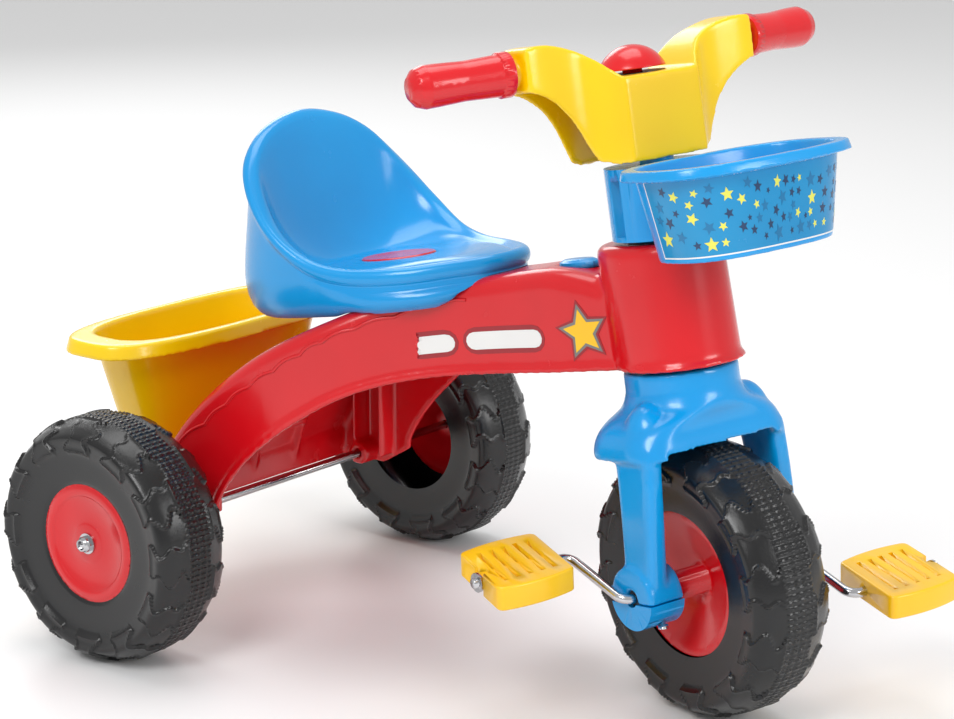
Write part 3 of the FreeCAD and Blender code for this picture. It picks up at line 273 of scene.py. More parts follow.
LABEL_SUN = Finish("label_print_sun", "yellow_plastic", (0.98, 0.66, 0.004), (0.92, 0.50, 0.0), (0.22, 0.30),
                   skin=0.01)
LABEL_GREY = Finish("label_print_grey", "dark_plastic", (0.10, 0.095, 0.09), (0.22, 0.21, 0.20),
                    (0.22, 0.30), skin=0.01)
LABEL_WINE = Finish("label_print_wine", "red_plastic", (0.36, 0.004, 0.012), (0.30, 0.003, 0.010),
                    (0.22, 0.30), skin=0.01)


# ---------------------------------------------------------------- mesh helpers
def only(obj: bpy.types.Object) -> None:
    """Select and activate just this object."""
    bpy.ops.object.select_all(action="DESELECT")
    obj.select_set(True)
    bpy.context.view_layer.objects.active = obj


def apply_modifier(obj: bpy.types.Object, kind: str, **settings: object) -> None:
    """Add a modifier with settings and apply it at once.

    Args:
        obj: the piece.
        kind: the modifier's type.
        settings: its attributes.
    """
    only(obj)
    modifier = obj.modifiers.new(kind.lower(), kind)
    for key, value in settings.items():
        setattr(modifier, key, value)
    bpy.ops.object.modifier_apply(modifier=modifier.name)


def mesh_piece(name: str, points: list[Vector], faces: list[tuple[int, ...]]) -> bpy.types.Object:
    """A new piece from points in the row frame and faces.

    Args:
        name: the piece's name.
        points: its corners.
        faces: corner numbers of each face.

    Returns:
        The object, at the origin.
    """
    mesh = bpy.data.meshes.new(name)
    mesh.from_pydata([tuple(p) for p in points], [], faces)
    mesh.update()
    obj = bpy.data.objects.new(name, mesh)
    bpy.context.scene.collection.objects.link(obj)
    return obj


def merged_copy(source: bpy.types.Object, name: str) -> bpy.types.Object:
    """Copy a CAD node's mesh into a new piece and merge its loose triangles.

    Args:
        source: the CAD node, which is left alone.
        name: the new piece's name.

    Returns:
        The new piece, at the origin.
    """
    piece = bpy.data.objects.new(name, source.data.copy())
    bpy.context.scene.collection.objects.link(piece)
    only(piece)
    bpy.ops.object.mode_set(mode="EDIT")
    bpy.ops.mesh.select_all(action="SELECT")
    bpy.ops.mesh.remove_doubles(threshold=MERGE_DISTANCE)
    bpy.ops.object.mode_set(mode="OBJECT")
    return piece


def ring_faces(rings: int, count: int) -> list[tuple[int, ...]]:
    """Faces that join closed rings of points, each to the next.

    Args:
        rings: how many rings there are.
        count: points in each ring.

    Returns:
        Corner numbers of each face.
    """
    faces: list[tuple[int, ...]] = []
    for j in range(rings - 1):
        for i in range(count):
            after = (i + 1) % count
            faces.append((j * count + i, j * count + after, (j + 1) * count + after, (j + 1) * count + i))
    return faces


def recalculate(obj: bpy.types.Object) -> None:
    """Turn all faces of a closed piece outwards."""
    only(obj)
    bpy.ops.object.mode_set(mode="EDIT")
    bpy.ops.mesh.select_all(action="SELECT")
    bpy.ops.mesh.remove_doubles(threshold=MERGE_DISTANCE)
    bpy.ops.mesh.normals_make_consistent(inside=False)
    bpy.ops.object.mode_set(mode="OBJECT")


def smooth(obj: bpy.types.Object, degrees: float) -> None:
    """Shade a piece smooth up to an angle between faces."""
    only(obj)
    bpy.ops.object.shade_smooth_by_angle(angle=math.radians(degrees))


def dress(obj: bpy.types.Object, finish: Finish, body: str) -> None:
    """Give a new piece its finish and the body that it rides on.

    Args:
        obj: the piece.
        finish: its finish, whose material it gets.
        body: the body it moves with.
    """
    obj.data.materials.clear()
    obj.data.materials.append(finish.build())
    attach(obj, body)


# ---------------------------------------------------------------- carried-over and rounded mouldings
@dataclass
class Moulding:
    """A moulded part: the CAD form with its edges and corners melted round, as they leave a mould."""

    node: str
    body: str
    finish: Finish
    voxel: float
    passes: int = 8

    def build(self, frame: dict) -> bpy.types.Object:
        """Copy the CAD form, remesh it finely and round it.

        Args:
            frame: the loaded frame.

        Returns:
            The finished piece.
        """
        piece = merged_copy(frame["nodes"][self.node], self.node + "_moulded")
        apply_modifier(piece, "REMESH", mode="VOXEL", voxel_size=self.voxel, adaptivity=0.0)
        apply_modifier(piece, "SMOOTH", factor=0.5, iterations=self.passes)
        faces = len(piece.data.polygons)
        if faces > FACE_LIMIT:
            apply_modifier(piece, "DECIMATE", ratio=FACE_LIMIT / faces)
        smooth(piece, 80)
        dress(piece, self.finish, self.body)
        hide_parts(self.node)
        LOG.info("%s: %d faces", piece.name, len(piece.data.polygons))
        return piece


@dataclass
class PlainNodes:
    """CAD nodes whose shape is already right: they keep it and get a finish."""

    finish: Finish
    nodes: tuple[str, ...]
    angle: float = 35.0

    def build(self, frame: dict) -> None:
        """Swap each node for a merged, smoothly shaded copy of itself.

        Args:
            frame: the loaded frame.
        """
        for node in self.nodes:
            source = frame["nodes"][node]
            piece = merged_copy(source, node + "_finished")
            smooth(piece, self.angle)
            dress(piece, self.finish, source["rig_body"])
            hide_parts(node)
            LOG.info("%s carried over", node)


# ---------------------------------------------------------------- seat
@dataclass
class Seat:
    """The bucket seat: a deep bowl with a rolled rim, a tall round back and a skirt."""

    place: Vector
    tilt: float = 10.0
    columns: int = 144
    pan: float = 37.0
    rim: tuple[tuple[float, float, float], ...] = (
        (126, 0, 36), (119, 27, 36), (96, 52, 36), (64, 77, 36), (20, 95, 40), (-13, 104, 52), (-43, 108, 78),
        (-66, 102, 108), (-83, 86, 136), (-91, 60, 156), (-94, 30, 167), (-95, 0, 171))
    roll: tuple[tuple[float, float], ...] = ((-0.6, -14.5), (1.4, -13.2), (3.4, -9), (2.8, -3.8), (0.0, -0.6),
                                             (-4.0, 0.0), (-8.5, -1.6), (-12.0, -4.0))

    def seated(self, p: float, y: float, q: float) -> Vector:
        """Turn a place in the seat's own frame, in millimetres, into one in the row frame."""
        c, s = math.cos(math.radians(self.tilt)), math.sin(math.radians(self.tilt))
        return self.place + Vector((p * c - q * s, y, p * s + q * c)) * MM

    def rim_line(self) -> np.ndarray:
        """Points round the whole rim, evenly spaced, from the nose over the left to the nose."""
        half = [np.array(point, float) for point in self.rim]
        loop = half + [point * (1, -1, 1) for point in half[-2:0:-1]]
        count = len(loop)
        fine = []
        for i in range(count):
            a, b, c, d = (loop[(i + k) % count] for k in (-1, 0, 1, 2))
            for j in range(20):
                t = j / 20
                fine.append(0.5 * (2 * b + (c - a) * t + (2 * a - 5 * b + 4 * c - d) * t * t
                                   + (3 * b - a - 3 * c + d) * t ** 3))
        fine = np.array(fine + [fine[0]])
        run = np.concatenate([[0.0], np.cumsum(np.linalg.norm(np.diff(fine, axis=0), axis=1))])
        at = np.linspace(0.0, run[-1], self.columns, endpoint=False)
        return np.stack([np.interp(at, run, fine[:, k]) for k in range(3)], axis=1)

    def oval(self, rim: np.ndarray, centre: float, back: float, front: float, half: float,
             height: float) -> np.ndarray:
        """A smooth closed outline under or inside the rim, column by column.

        Args:
            rim: the rim's points.
            centre: where along the seat it is widest.
            back: reach behind the centre.
            front: reach in front of it.
            half: half its width.
            height: its height.

        Returns:
            One point for each column.
        """
        turn = np.arctan2(rim[:, 1] / 105.0, np.where(rim[:, 0] > -30, (rim[:, 0] + 30) / 170.0,
                                                      (rim[:, 0] + 30) / 60.0))
        c, s = np.cos(turn), np.sin(turn)
        reach = np.where(c > 0, front, back)
        p = centre + reach * np.sign(c) * np.abs(c) ** 0.8
        y = half * np.sign(s) * np.abs(s) ** 0.8
        return np.stack([p, y, np.full(len(rim), height)], axis=1)

    def rings(self) -> list[np.ndarray]:
        """All cross rings from under the pan, out and up over the rim and into the bowl."""
        rim = self.rim_line()
        ahead = np.roll(rim, -1, axis=0) - np.roll(rim, 1, axis=0)
        out = np.stack([ahead[:, 1], -ahead[:, 0], np.zeros(len(rim))], axis=1)
        out /= np.linalg.norm(out, axis=1)[:, None]
        up = np.array([0.0, 0.0, 1.0])
        roll = [rim + out * n + up * k for n, k in self.roll]
        outside = [self.oval(rim, -34, 92, 138, 88, -2.0), self.oval(rim, -34, 103, 150, 98, 8.0)]
        crease = roll[0]
        waist = self.oval(rim, -34, 104, 150, 103, 30.0)
        low_front = np.clip((crease[:, 2] - 22.0) / 30.0, 0.0, 1.0)[:, None]
        waist = crease * (1 - low_front) + waist * low_front
        waist[:, 2] = np.minimum(30.0, crease[:, 2] - 6.0)
        for share in (0.0, 0.2, 0.4, 0.6, 0.8):
            ease = share * share * (3 - 2 * share)
            ring = waist + (crease - waist) * share
            ring[:, :2] = waist[:, :2] + (crease[:, :2] - waist[:, :2]) * (0.6 * share + 0.4 * ease)
            outside.append(ring)
        low = self.oval(rim, -8, 46, 92, 58, self.pan)
        inner = roll[-1]
        bowl = []
        for share in (0.16, 0.32, 0.48, 0.64, 0.8, 0.92):
            plan = share ** 1.5
            fall = 1 - (1 - share) ** 1.7
            ring = inner.copy()
            ring[:, :2] += (low[:, :2] - inner[:, :2]) * plan
            ring[:, 2] += (low[:, 2] - inner[:, 2]) * fall
            bowl.append(ring)
        bowl.append(low)
        turn = np.arctan2(low[:, 1], low[:, 0])
        oval = np.stack([36.0 * np.cos(turn), 31.0 * np.sin(turn), np.full(len(rim), self.pan)], axis=1)
        bowl.append((low + oval) / 2)
        for share, drop in ((1.0, 0.0), (0.985, 0.6), (0.975, 3.0), (0.5, 3.0)):
            bowl.append(oval * (share, share, 1.0) - (0.0, 0.0, drop))
        under = []
        for ring in outside[:2]:
            inside = ring.copy()
            inside[:, :2] *= 0.955
            under.append(inside)
        ceiling = low.copy()
        ceiling[:, 2] -= 6.0
        middle = ceiling.copy()
        middle[:, :2] *= 0.4
        return [middle, ceiling, under[1], under[0]] + outside + roll + bowl

    def clear_frame(self, points: list[Vector], skin: "Skin", side: float) -> list[Vector]:
        """Lift the skirt's edge off the frame where the frame passes under it.

        Args:
            points: the seat's points.
            skin: the frame's surface.
            side: half the width over which the frame can be met.

        Returns:
            The points, none of them inside the frame.
        """
        cleared = []
        for point in points:
            above = Vector((point.x, point.y, 0.6))
            hit, _, _, _ = skin.tree.ray_cast(above, Vector((0, 0, -1)))
            if hit is not None and abs(point.y) < side and point.z < hit.z + 0.4 * MM:
                point = Vector((point.x, point.y, hit.z + 0.4 * MM))
            cleared.append(point)
        return cleared

    def build_insert(self) -> None:
        """Make the slightly dished oval plate that lies in the pan."""
        bpy.ops.object.select_all(action="DESELECT")
        bpy.ops.mesh.primitive_circle_add(vertices=96, radius=1.0, fill_type="NGON")
        plate = bpy.context.active_object
        plate.name = "seat_insert_plate"
        bpy.ops.object.mode_set(mode="EDIT")
        bpy.ops.mesh.select_all(action="SELECT")
        bpy.ops.transform.resize(value=(34.6 * MM, 29.6 * MM, 1.0))
        bpy.ops.mesh.extrude_region_move(TRANSFORM_OT_translate={"value": (0, 0, 2.6 * MM)})
        bpy.ops.mesh.inset(thickness=1.2 * MM, depth=0.9 * MM)
        bpy.ops.mesh.inset(thickness=9.0 * MM, depth=-0.7 * MM)
        bpy.ops.mesh.inset(thickness=10.0 * MM, depth=-0.5 * MM)
        bpy.ops.mesh.select_all(action="SELECT")
        bpy.ops.mesh.normals_make_consistent(inside=False)
        bpy.ops.object.mode_set(mode="OBJECT")
        plate.location = self.seated(0.0, 0.0, self.pan - 2.8)
        plate.rotation_euler = (0.0, -math.radians(self.tilt), 0.0)
        bpy.ops.object.transform_apply(location=True, rotation=True, scale=True)
        smooth(plate, 30)
        dress(plate, RED, "frame")
        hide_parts("seat_insert")

    def build(self, skin: "Skin") -> bpy.types.Object:
        """Join the rings into a closed shell and smooth it.

        Args:
            skin: the frame's surface, which the skirt clears.

        Returns:
            The finished seat.
        """
        rings = self.rings()
        points = [self.seated(*row) for ring in rings for row in ring]
        points = self.clear_frame(points, skin, 125 * MM)
        count = self.columns
        faces = ring_faces(len(rings), count)
        first, last = len(points), len(points) + 1
        points += [sum(points[:count], Vector()) / count, sum(points[-count:], Vector()) / count]
        top = (len(rings) - 1) * count
        for i in range(count):
            after = (i + 1) % count
            faces.append((first, after, i))
            faces.append((last, top + i, top + after))
        piece = mesh_piece("seat_moulded", points, faces)
        recalculate(piece)
        self.build_insert()
        apply_modifier(piece, "SUBSURF", levels=1, render_levels=1)
        smooth(piece, 60)
        dress(piece, BLUE, "frame")
        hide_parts("seat")
        LOG.info("seat: %d faces", len(piece.data.polygons))
        return piece


# ---------------------------------------------------------------- tyres
@dataclass
class Tyre:
    """A blown tyre with wavy shoulder lugs and a finely ribbed crown."""

    node: str
    body: str
    hub: Vector
    axle: Vector
    steps: int = 792
    lugs: int = 12
    lug_height: float = 2.6 * MM
    ribs: int = 144
    rib_height: float = 1.1 * MM

    def measure(self, frame: dict) -> tuple[float, float, float]:
        """Read the tyre's size from its CAD node.

        Args:
            frame: the loaded frame.

        Returns:
            Outer radius, half width and the radius of the hub opening.
        """
        mesh = frame["nodes"][self.node].data
        points = np.array([v.co for v in mesh.vertices]) - np.array(self.hub)
        along = points @ np.array(self.axle)
        radial = np.linalg.norm(points - np.outer(along, self.axle), axis=1)
        half = float(along.max())
        rim = radial[(along > 0.8 * half) & (radial > 40 * MM)]
        return float(radial.max()), half, float(rim.min())

    def profile(self, radius: float, half: float, opening: float) -> list[tuple[float, float]]:
        """Half of the tyre's section as (radius, y), crown to hub opening.

        Args:
            radius: outer radius.
            half: half width.
            opening: radius of the hub opening.

        Returns:
            Closely spaced points along a smooth curve.
        """
        keys = [(radius, -0.2 * half), (radius, 0.0), (radius, 0.2 * half), (0.992 * radius, 0.38 * half),
                (0.965 * radius, 0.62 * half),
                (0.935 * radius, 0.82 * half), (0.885 * radius, half), (0.80 * radius, 0.965 * half),
                (0.70 * radius, 0.90 * half), (opening, 0.83 * half), (opening - 3 * MM, 0.76 * half)]
        points: list[tuple[float, float]] = []
        for a, b, c, d in zip(keys, keys[1:], keys[2:], keys[3:]):
            for i in range(5):
                points.append(self.catmull(a, b, c, d, i / 5))
        points.append(keys[-2])
        return points

    @staticmethod
    def catmull(a: tuple, b: tuple, c: tuple, d: tuple, t: float) -> tuple[float, float]:
        """A point between b and c on the smooth curve through a, b, c and d."""
        return tuple(0.5 * (2 * b[i] + (c[i] - a[i]) * t + (2 * a[i] - 5 * b[i] + 4 * c[i] - d[i]) * t * t
                            + (3 * b[i] - a[i] - 3 * c[i] + d[i]) * t ** 3) for i in (0, 1))

    def relief(self, turn: np.ndarray, across: np.ndarray, radial: np.ndarray, radius: float) -> np.ndarray:
        """Height of the moulded pattern over the plain section.

        Args:
            turn: angle round the axle.
            across: distance from the middle plane, signed.
            radial: distance from the axle.
            radius: the tyre's outer radius.

        Returns:
            The height at each point.
        """
        core = 0.76 * radius
        lean = np.degrees(np.arctan2(np.abs(across), radial - core))
        travel = (lean - 26.0) / 66.0
        pitch = 2 * math.pi / self.lugs
        offset = np.where(across > 0, 0.0, 0.5 * pitch)
        arc = ((turn + offset) % pitch - pitch / 2) * radius
        width = (15.5 + 4.4 * np.cos(travel * 4.4 * math.pi)) * MM
        drift = 3.6 * MM * np.sin(travel * 2.8 * math.pi)
        edge = np.minimum((width - np.abs(arc - drift)) / MM, np.minimum(travel, 1.0 - travel) * 46.0)
        inside = np.clip(edge / 2.6, 0.0, 1.0)
        ridge = np.exp(-((edge - 2.6) / 1.3) ** 2)
        lug = (inside * inside * (3 - 2 * inside) * 0.72 + 0.42 * ridge) * self.lug_height
        y = np.abs(across) / MM
        rows = ((y > 1.0) & (y < 6.4)) | ((y > 7.6) & (y < 13.0))
        tooth = np.clip(0.5 + 1.8 * np.cos(turn * self.ribs), 0.0, 1.0)
        return lug + np.where(rows & (lean < 26), tooth * self.rib_height, 0.0)

    def build(self, frame: dict) -> bpy.types.Object:
        """Spin the section round the axle and raise the pattern.

        Args:
            frame: the loaded frame.

        Returns:
            The finished tyre.
        """
        radius, half, opening = self.measure(frame)
        side = self.profile(radius - self.rib_height, half, opening)
        section = [(r, -y) for r, y in reversed(side)] + side[1:]
        inner = [(r - 3 * MM, y * 0.9) for r, y in reversed(section)][::6]
        ring = section + inner
        axle = self.axle.normalized()
        out = axle.orthogonal().normalized()
        points = [self.hub + out * r + axle * y for r, y in ring]
        piece = mesh_piece(self.node + "_patterned", points, [])
        edit = bmesh.new()
        edit.from_mesh(piece.data)
        edit.verts.ensure_lookup_table()
        for i in range(len(points)):
            edit.edges.new((edit.verts[i], edit.verts[(i + 1) % len(points)]))
        edit.to_mesh(piece.data)
        edit.free()
        only(piece)
        bpy.ops.object.mode_set(mode="EDIT")
        bpy.ops.mesh.select_all(action="SELECT")
        bpy.ops.mesh.spin(steps=self.steps, angle=2 * math.pi, center=self.hub, axis=axle)
        bpy.ops.mesh.select_all(action="SELECT")
        bpy.ops.mesh.remove_doubles(threshold=2e-6)
        bpy.ops.mesh.normals_make_consistent(inside=False)
        bpy.ops.object.mode_set(mode="OBJECT")
        self.raise_pattern(piece, radius, section)
        smooth(piece, 50)
        dress(piece, BLACK, self.body)
        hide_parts(self.node)
        LOG.info("%s: %d faces", piece.name, len(piece.data.polygons))
        return piece

    def raise_pattern(self, piece: bpy.types.Object, radius: float, section: list) -> None:
        """Push the outer skin out by the pattern's height.

        Args:
            piece: the spun tyre.
            radius: its outer radius.
            section: its outer section as (radius, y).
        """
        mesh = piece.data
        flat = np.empty(len(mesh.vertices) * 3)
        mesh.vertices.foreach_get("co", flat)
        points = flat.reshape(-1, 3)
        axle = np.array(self.axle.normalized())
        out = np.array(self.axle.orthogonal().normalized())
        third = np.cross(axle, out)
        local = points - np.array(self.hub)
        across = local @ axle
        a, b = local @ out, local @ third
        radial = np.hypot(a, b)
        turn = np.arctan2(b, a)
        reach = np.array([r for r, _ in section])
        place = np.array([y for _, y in section])
        gap = np.min(np.hypot(radial[:, None] - reach[None, :], across[:, None] - place[None, :]), axis=1)
        height = np.where(gap < 0.3 * MM, self.relief(turn, across, radial, radius), 0.0)
        core = 0.76 * radius
        lean = np.arctan2(across, radial - core)
        spoke = np.outer(np.cos(turn), out) + np.outer(np.sin(turn), third)
        way = spoke * np.cos(lean)[:, None] + axle[None, :] * np.sin(lean)[:, None]
        points += height[:, None] * way
        mesh.vertices.foreach_set("co", points.reshape(-1))
        mesh.update()


# ---------------------------------------------------------------- printed labels
@dataclass
class Skin:
    """Lays flat prints on a surface by dropping their points onto it."""

    target: bpy.types.Object

    def __post_init__(self) -> None:
        """Prepare the surface for ray casts."""
        graph = bpy.context.evaluated_depsgraph_get()
        self.tree = BVHTree.FromObject(self.target, graph)

    def drop(self, point: Vector, way: Vector, proud: float) -> Vector:
        """Move a point along a direction onto the surface.

        Args:
            point: where it starts.
            way: unit direction towards the surface.
            proud: how far it stays off the surface.

        Returns:
            The point on the surface, or the start itself if nothing is met.
        """
        hit, _, _, _ = self.tree.ray_cast(point, way)
        if hit is None:
            return point
        return hit - way * proud


def star_outline(radius: float, waist: float, turn: float) -> list[tuple[float, float]]:
    """The ten corners of a five-pointed star.

    Args:
        radius: centre to tip.
        waist: share of the radius where the inner corners lie.
        turn: rotation in degrees.

    Returns:
        Corner places in the star's plane.
    """
    corners = []
    for i in range(10):
        reach = radius if i % 2 == 0 else radius * waist
        angle = math.radians(90 + turn + 36 * i)
        corners.append((reach * math.cos(angle), reach * math.sin(angle)))
    return corners


def pill_outline(half_length: float, half_height: float) -> list[tuple[float, float]]:
    """A bar with round ends.

    Args:
        half_length: half its length, ends included.
        half_height: half its height.

    Returns:
        Corner places in the bar's plane.
    """
    corners = []
    for end, start in ((1, -90), (-1, 90)):
        for i in range(7):
            angle = math.radians(start + 30 * i)
            corners.append((end * (half_length - half_height) + half_height * math.cos(angle),
                            half_height * math.sin(angle)))
    return corners


@dataclass
class BeamLabel:
    """The printed band on a side of the beam: plain bars and a star."""

    side: Side
    skin: Skin
    slope: float = 10.0

    def place(self, centre: Vector, shape: list[tuple[float, float]], proud: float,
              name: str, finish: Finish) -> None:
        """Lay one flat shape on the beam's side: a fan of fine rings, pressed onto the surface.

        Args:
            centre: middle of the shape, in the row frame.
            shape: its outline in the plane of the beam's side.
            proud: how far it stands off the surface.
            name: the piece's name.
            finish: its print colour.
        """
        sign = self.side.value
        tilt = math.radians(self.slope)
        way = Vector((0.0, -sign, 0.0))
        outline = []
        for (a, b), (c, d) in zip(shape, shape[1:] + shape[:1]):
            steps = max(1, round(math.hypot(c - a, d - b) / (3 * MM)))
            outline += [(a + (c - a) * k / steps, b + (d - b) * k / steps) for k in range(steps)]
        shares = (1.0, 0.8, 0.6, 0.4, 0.2)
        points = []
        for share in shares:
            for a, b in outline:
                a, b = a * share, b * share
                start = centre + Vector((a * math.cos(tilt) - b * math.sin(tilt), 60 * MM * sign,
                                         a * math.sin(tilt) + b * math.cos(tilt)))
                points.append(self.skin.drop(start, way, proud))
        points.append(self.skin.drop(centre + Vector((0, 60 * MM * sign, 0)), way, proud))
        count = len(outline)
        faces = ring_faces(len(shares), count)
        last = (len(shares) - 1) * count
        faces += [(last + i, last + (i + 1) % count, len(points) - 1) for i in range(count)]
        piece = mesh_piece(name, points, faces)
        recalculate(piece)
        if piece.data.polygons[0].normal.y * sign < 0:
            piece.data.flip_normals()
        apply_modifier(piece, "SOLIDIFY", thickness=0.25 * MM, offset=-1.0)
        smooth(piece, 30)
        dress(piece, finish, "frame")

    def build(self) -> None:
        """Lay the bars and the star on this side."""
        word = self.side.word
        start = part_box("beam_cap")[0].x
        level = (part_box("beam_cap")[0].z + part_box("beam_cap")[1].z) / 2
        slope = math.tan(math.radians(self.slope))

        def on_beam(back: float, down: float) -> Vector:
            """A point on the beam, behind the cap and below its level."""
            return Vector((start - back, 0.0, level - down - back * slope))

        for i, (back, length) in enumerate(((142 * MM, 38 * MM), (94 * MM, 38 * MM), (28 * MM, 76 * MM))):
            spot = on_beam(back, 57 * MM)
            self.place(spot, pill_outline(length / 2 + 3.0 * MM, 11.5 * MM), 0.25 * MM,
                       f"bar_backing_{i + 1}_{word}", LABEL_WINE)
            self.place(spot, pill_outline(length / 2, 7.5 * MM), 0.45 * MM, f"bar_print_{i + 1}_{word}",
                       LABEL_WHITE)
        spot = on_beam(-50 * MM, 53 * MM)
        turn = -8.0 * self.side.value
        self.place(spot, star_outline(27 * MM, 0.52, turn), 0.5 * MM, f"star_backing_{word}", LABEL_WINE)
        self.place(spot, star_outline(23.5 * MM, 0.50, turn), 0.7 * MM, f"star_edge_{word}", LABEL_GREY)
        self.place(spot, star_outline(19 * MM, 0.48, turn), 0.95 * MM, f"star_print_{word}", LABEL_SUN)
        LOG.info("beam label on the %s", word)


# ---------------------------------------------------------------- steering frame and basket label
@dataclass
class Steering:
    """The steering assembly's own directions: forward, left and up its axis."""

    origin: Vector
    forward: Vector
    left: Vector
    up: Vector

    @classmethod
    def read(cls, joints: list[dict]) -> "Steering":
        """Work out the directions from the steering and front wheel joints."""
        by_name = {joint["name"]: joint for joint in joints}
        up = Vector(by_name["steering_turn"]["axis"]).normalized()
        left = Vector(by_name["front_wheel_spin"]["axis"]).normalized()
        origin = Vector(by_name["front_wheel_spin"]["pos_m"])
        return cls(origin, left.cross(up).normalized(), left, up)

    def at(self, u: float, y: float, s: float) -> Vector:
        """The row-frame place of a point given forward, left and up the axis, in metres."""
        return self.origin + self.forward * u + self.left * y + self.up * s


@dataclass
class BasketLabel:
    """The star print that wraps the basket's front and sides."""

    steering: Steering
    centre: float = 99.0 * MM
    floor: tuple[float, float] = (45.0 * MM, 71.0 * MM)
    mouth: tuple[float, float] = (54.0 * MM, 84.0 * MM)
    bottom: float = 270.0 * MM
    top: float = 343.0 * MM
    power: float = 2.7
    sweep: float = 97.0

    def on_wall(self, degrees: float, height: float, proud: float) -> Vector:
        """A point on the basket's outer wall.

        Args:
            degrees: direction from straight ahead, positive to the left.
            height: up the steering axis from the front wheel's centre.
            proud: how far it stands off the wall.

        Returns:
            The point in the row frame.
        """
        share = (height - self.bottom) / (self.top - self.bottom)
        half_x = self.floor[0] + (self.mouth[0] - self.floor[0]) * share
        half_y = self.floor[1] + (self.mouth[1] - self.floor[1]) * share
        c, s = math.cos(math.radians(degrees)), math.sin(math.radians(degrees))
        reach = (abs(c / half_x) ** self.power + abs(s / half_y) ** self.power) ** (-1 / self.power)
        reach += proud
        return self.steering.at(self.centre + reach * c, reach * s, height)

    def sheet(self, name: str, low: float, high: float, sweep: float, proud: float, finish: Finish) -> None:
        """A thin wrapped band between two heights.

        Args:
            name: the piece's name.
            low: its lower edge, up the steering axis.
            high: its upper edge.
            sweep: how far it reaches to either side, in degrees.
            proud: how far it stands off the wall.
            finish: its print colour.
        """
        count, rows = 96, 8
        points, faces = [], []
        for layer in (proud, proud - 0.25 * MM):
            for j in range(rows + 1):
                for i in range(count + 1):
                    angle = -sweep + 2 * sweep * i / count
                    points.append(self.on_wall(angle, low + (high - low) * j / rows, layer))
        width = count + 1
        size = width * (rows + 1)
        for j in range(rows):
            for i in range(count):
                a = j * width + i
                faces.append((a, a + 1, a + 1 + width, a + width))
                faces.append((size + a + width, size + a + width + 1, size + a + 1, size + a))
        rim = list(range(width)) + [j * width + count for j in range(1, rows + 1)]
        rim += [rows * width + i for i in range(count - 1, -1, -1)]
        rim += [j * width for j in range(rows - 1, 0, -1)]
        for a, b in zip(rim, rim[1:] + rim[:1]):
            faces.append((a, size + a, size + b, b))
        piece = mesh_piece(name, points, faces)
        recalculate(piece)
        smooth(piece, 40)
        dress(piece, finish, "steering")

    def star(self, degrees: float, height: float, radius: float, turn: float, proud: float
             ) -> tuple[list[Vector], list[tuple[int, ...]]]:
        """One star, wrapped on the wall.

        Args:
            degrees: direction from straight ahead.
            height: up the steering axis.
            radius: centre to tip.
            turn: rotation in degrees.
            proud: how far it stands off the wall.

        Returns:
            Its points and its faces.
        """
        reach = 78 * MM
        rim = [self.on_wall(degrees + math.degrees(a / reach), height + b, proud)
               for a, b in star_outline(radius, 0.45, turn)]
        middle = self.on_wall(degrees, height, proud)
        base = [self.on_wall(degrees + math.degrees(a / reach), height + b, 0.1 * MM)
                for a, b in star_outline(radius, 0.45, turn)]
        faces = [(20, i, (i + 1) % 10) for i in range(10)]
        faces += [(i, 10 + i, 10 + (i + 1) % 10, (i + 1) % 10) for i in range(10)]
        faces.append(tuple(range(19, 9, -1)))
        return rim + base + [middle], faces

    def build(self) -> None:
        """Make the band, its pale border and three colours of star."""
        low, high = self.bottom + 5 * MM, self.top - 9.5 * MM
        self.sheet("basket_label_border", low - 1.2 * MM, high + 1.2 * MM, self.sweep + 1.0, 0.3 * MM,
                   LABEL_WHITE)
        self.sheet("basket_label_print", low, high, self.sweep, 0.45 * MM, LABEL_BLUE)
        dice = np.random.default_rng(11)
        spots: list[tuple[float, float, float]] = []
        layers = ((LABEL_LEMON, "lemon", 22, (3.0, 6.6)), (LABEL_NAVY, "navy", 34, (2.6, 5.4)),
                  (LABEL_TEAL, "teal", 46, (4.0, 9.0)))
        for finish, word, count, (small, large) in layers:
            points, faces, tries = [], [], 0
            placed = 0
            while placed < count and tries < 4000:
                tries += 1
                angle = dice.uniform(-self.sweep + 5, self.sweep - 5)
                height = dice.uniform(low + 7 * MM, high - 7 * MM)
                radius = dice.uniform(small, large) * MM
                if any(math.hypot((angle - a) * 1.36 * MM, height - h) < radius + r + 1.2 * MM
                       for a, h, r in spots):
                    continue
                spots.append((angle, height, radius))
                star_points, star_faces = self.star(angle, height, radius, dice.uniform(-30, 30), 0.62 * MM)
                faces += [tuple(len(points) + i for i in face) for face in star_faces]
                points += star_points
                placed += 1
            piece = mesh_piece(f"basket_stars_{word}", points, faces)
            recalculate(piece)
            dress(piece, finish, "steering")
        LOG.info("basket label with %d stars", len(spots))


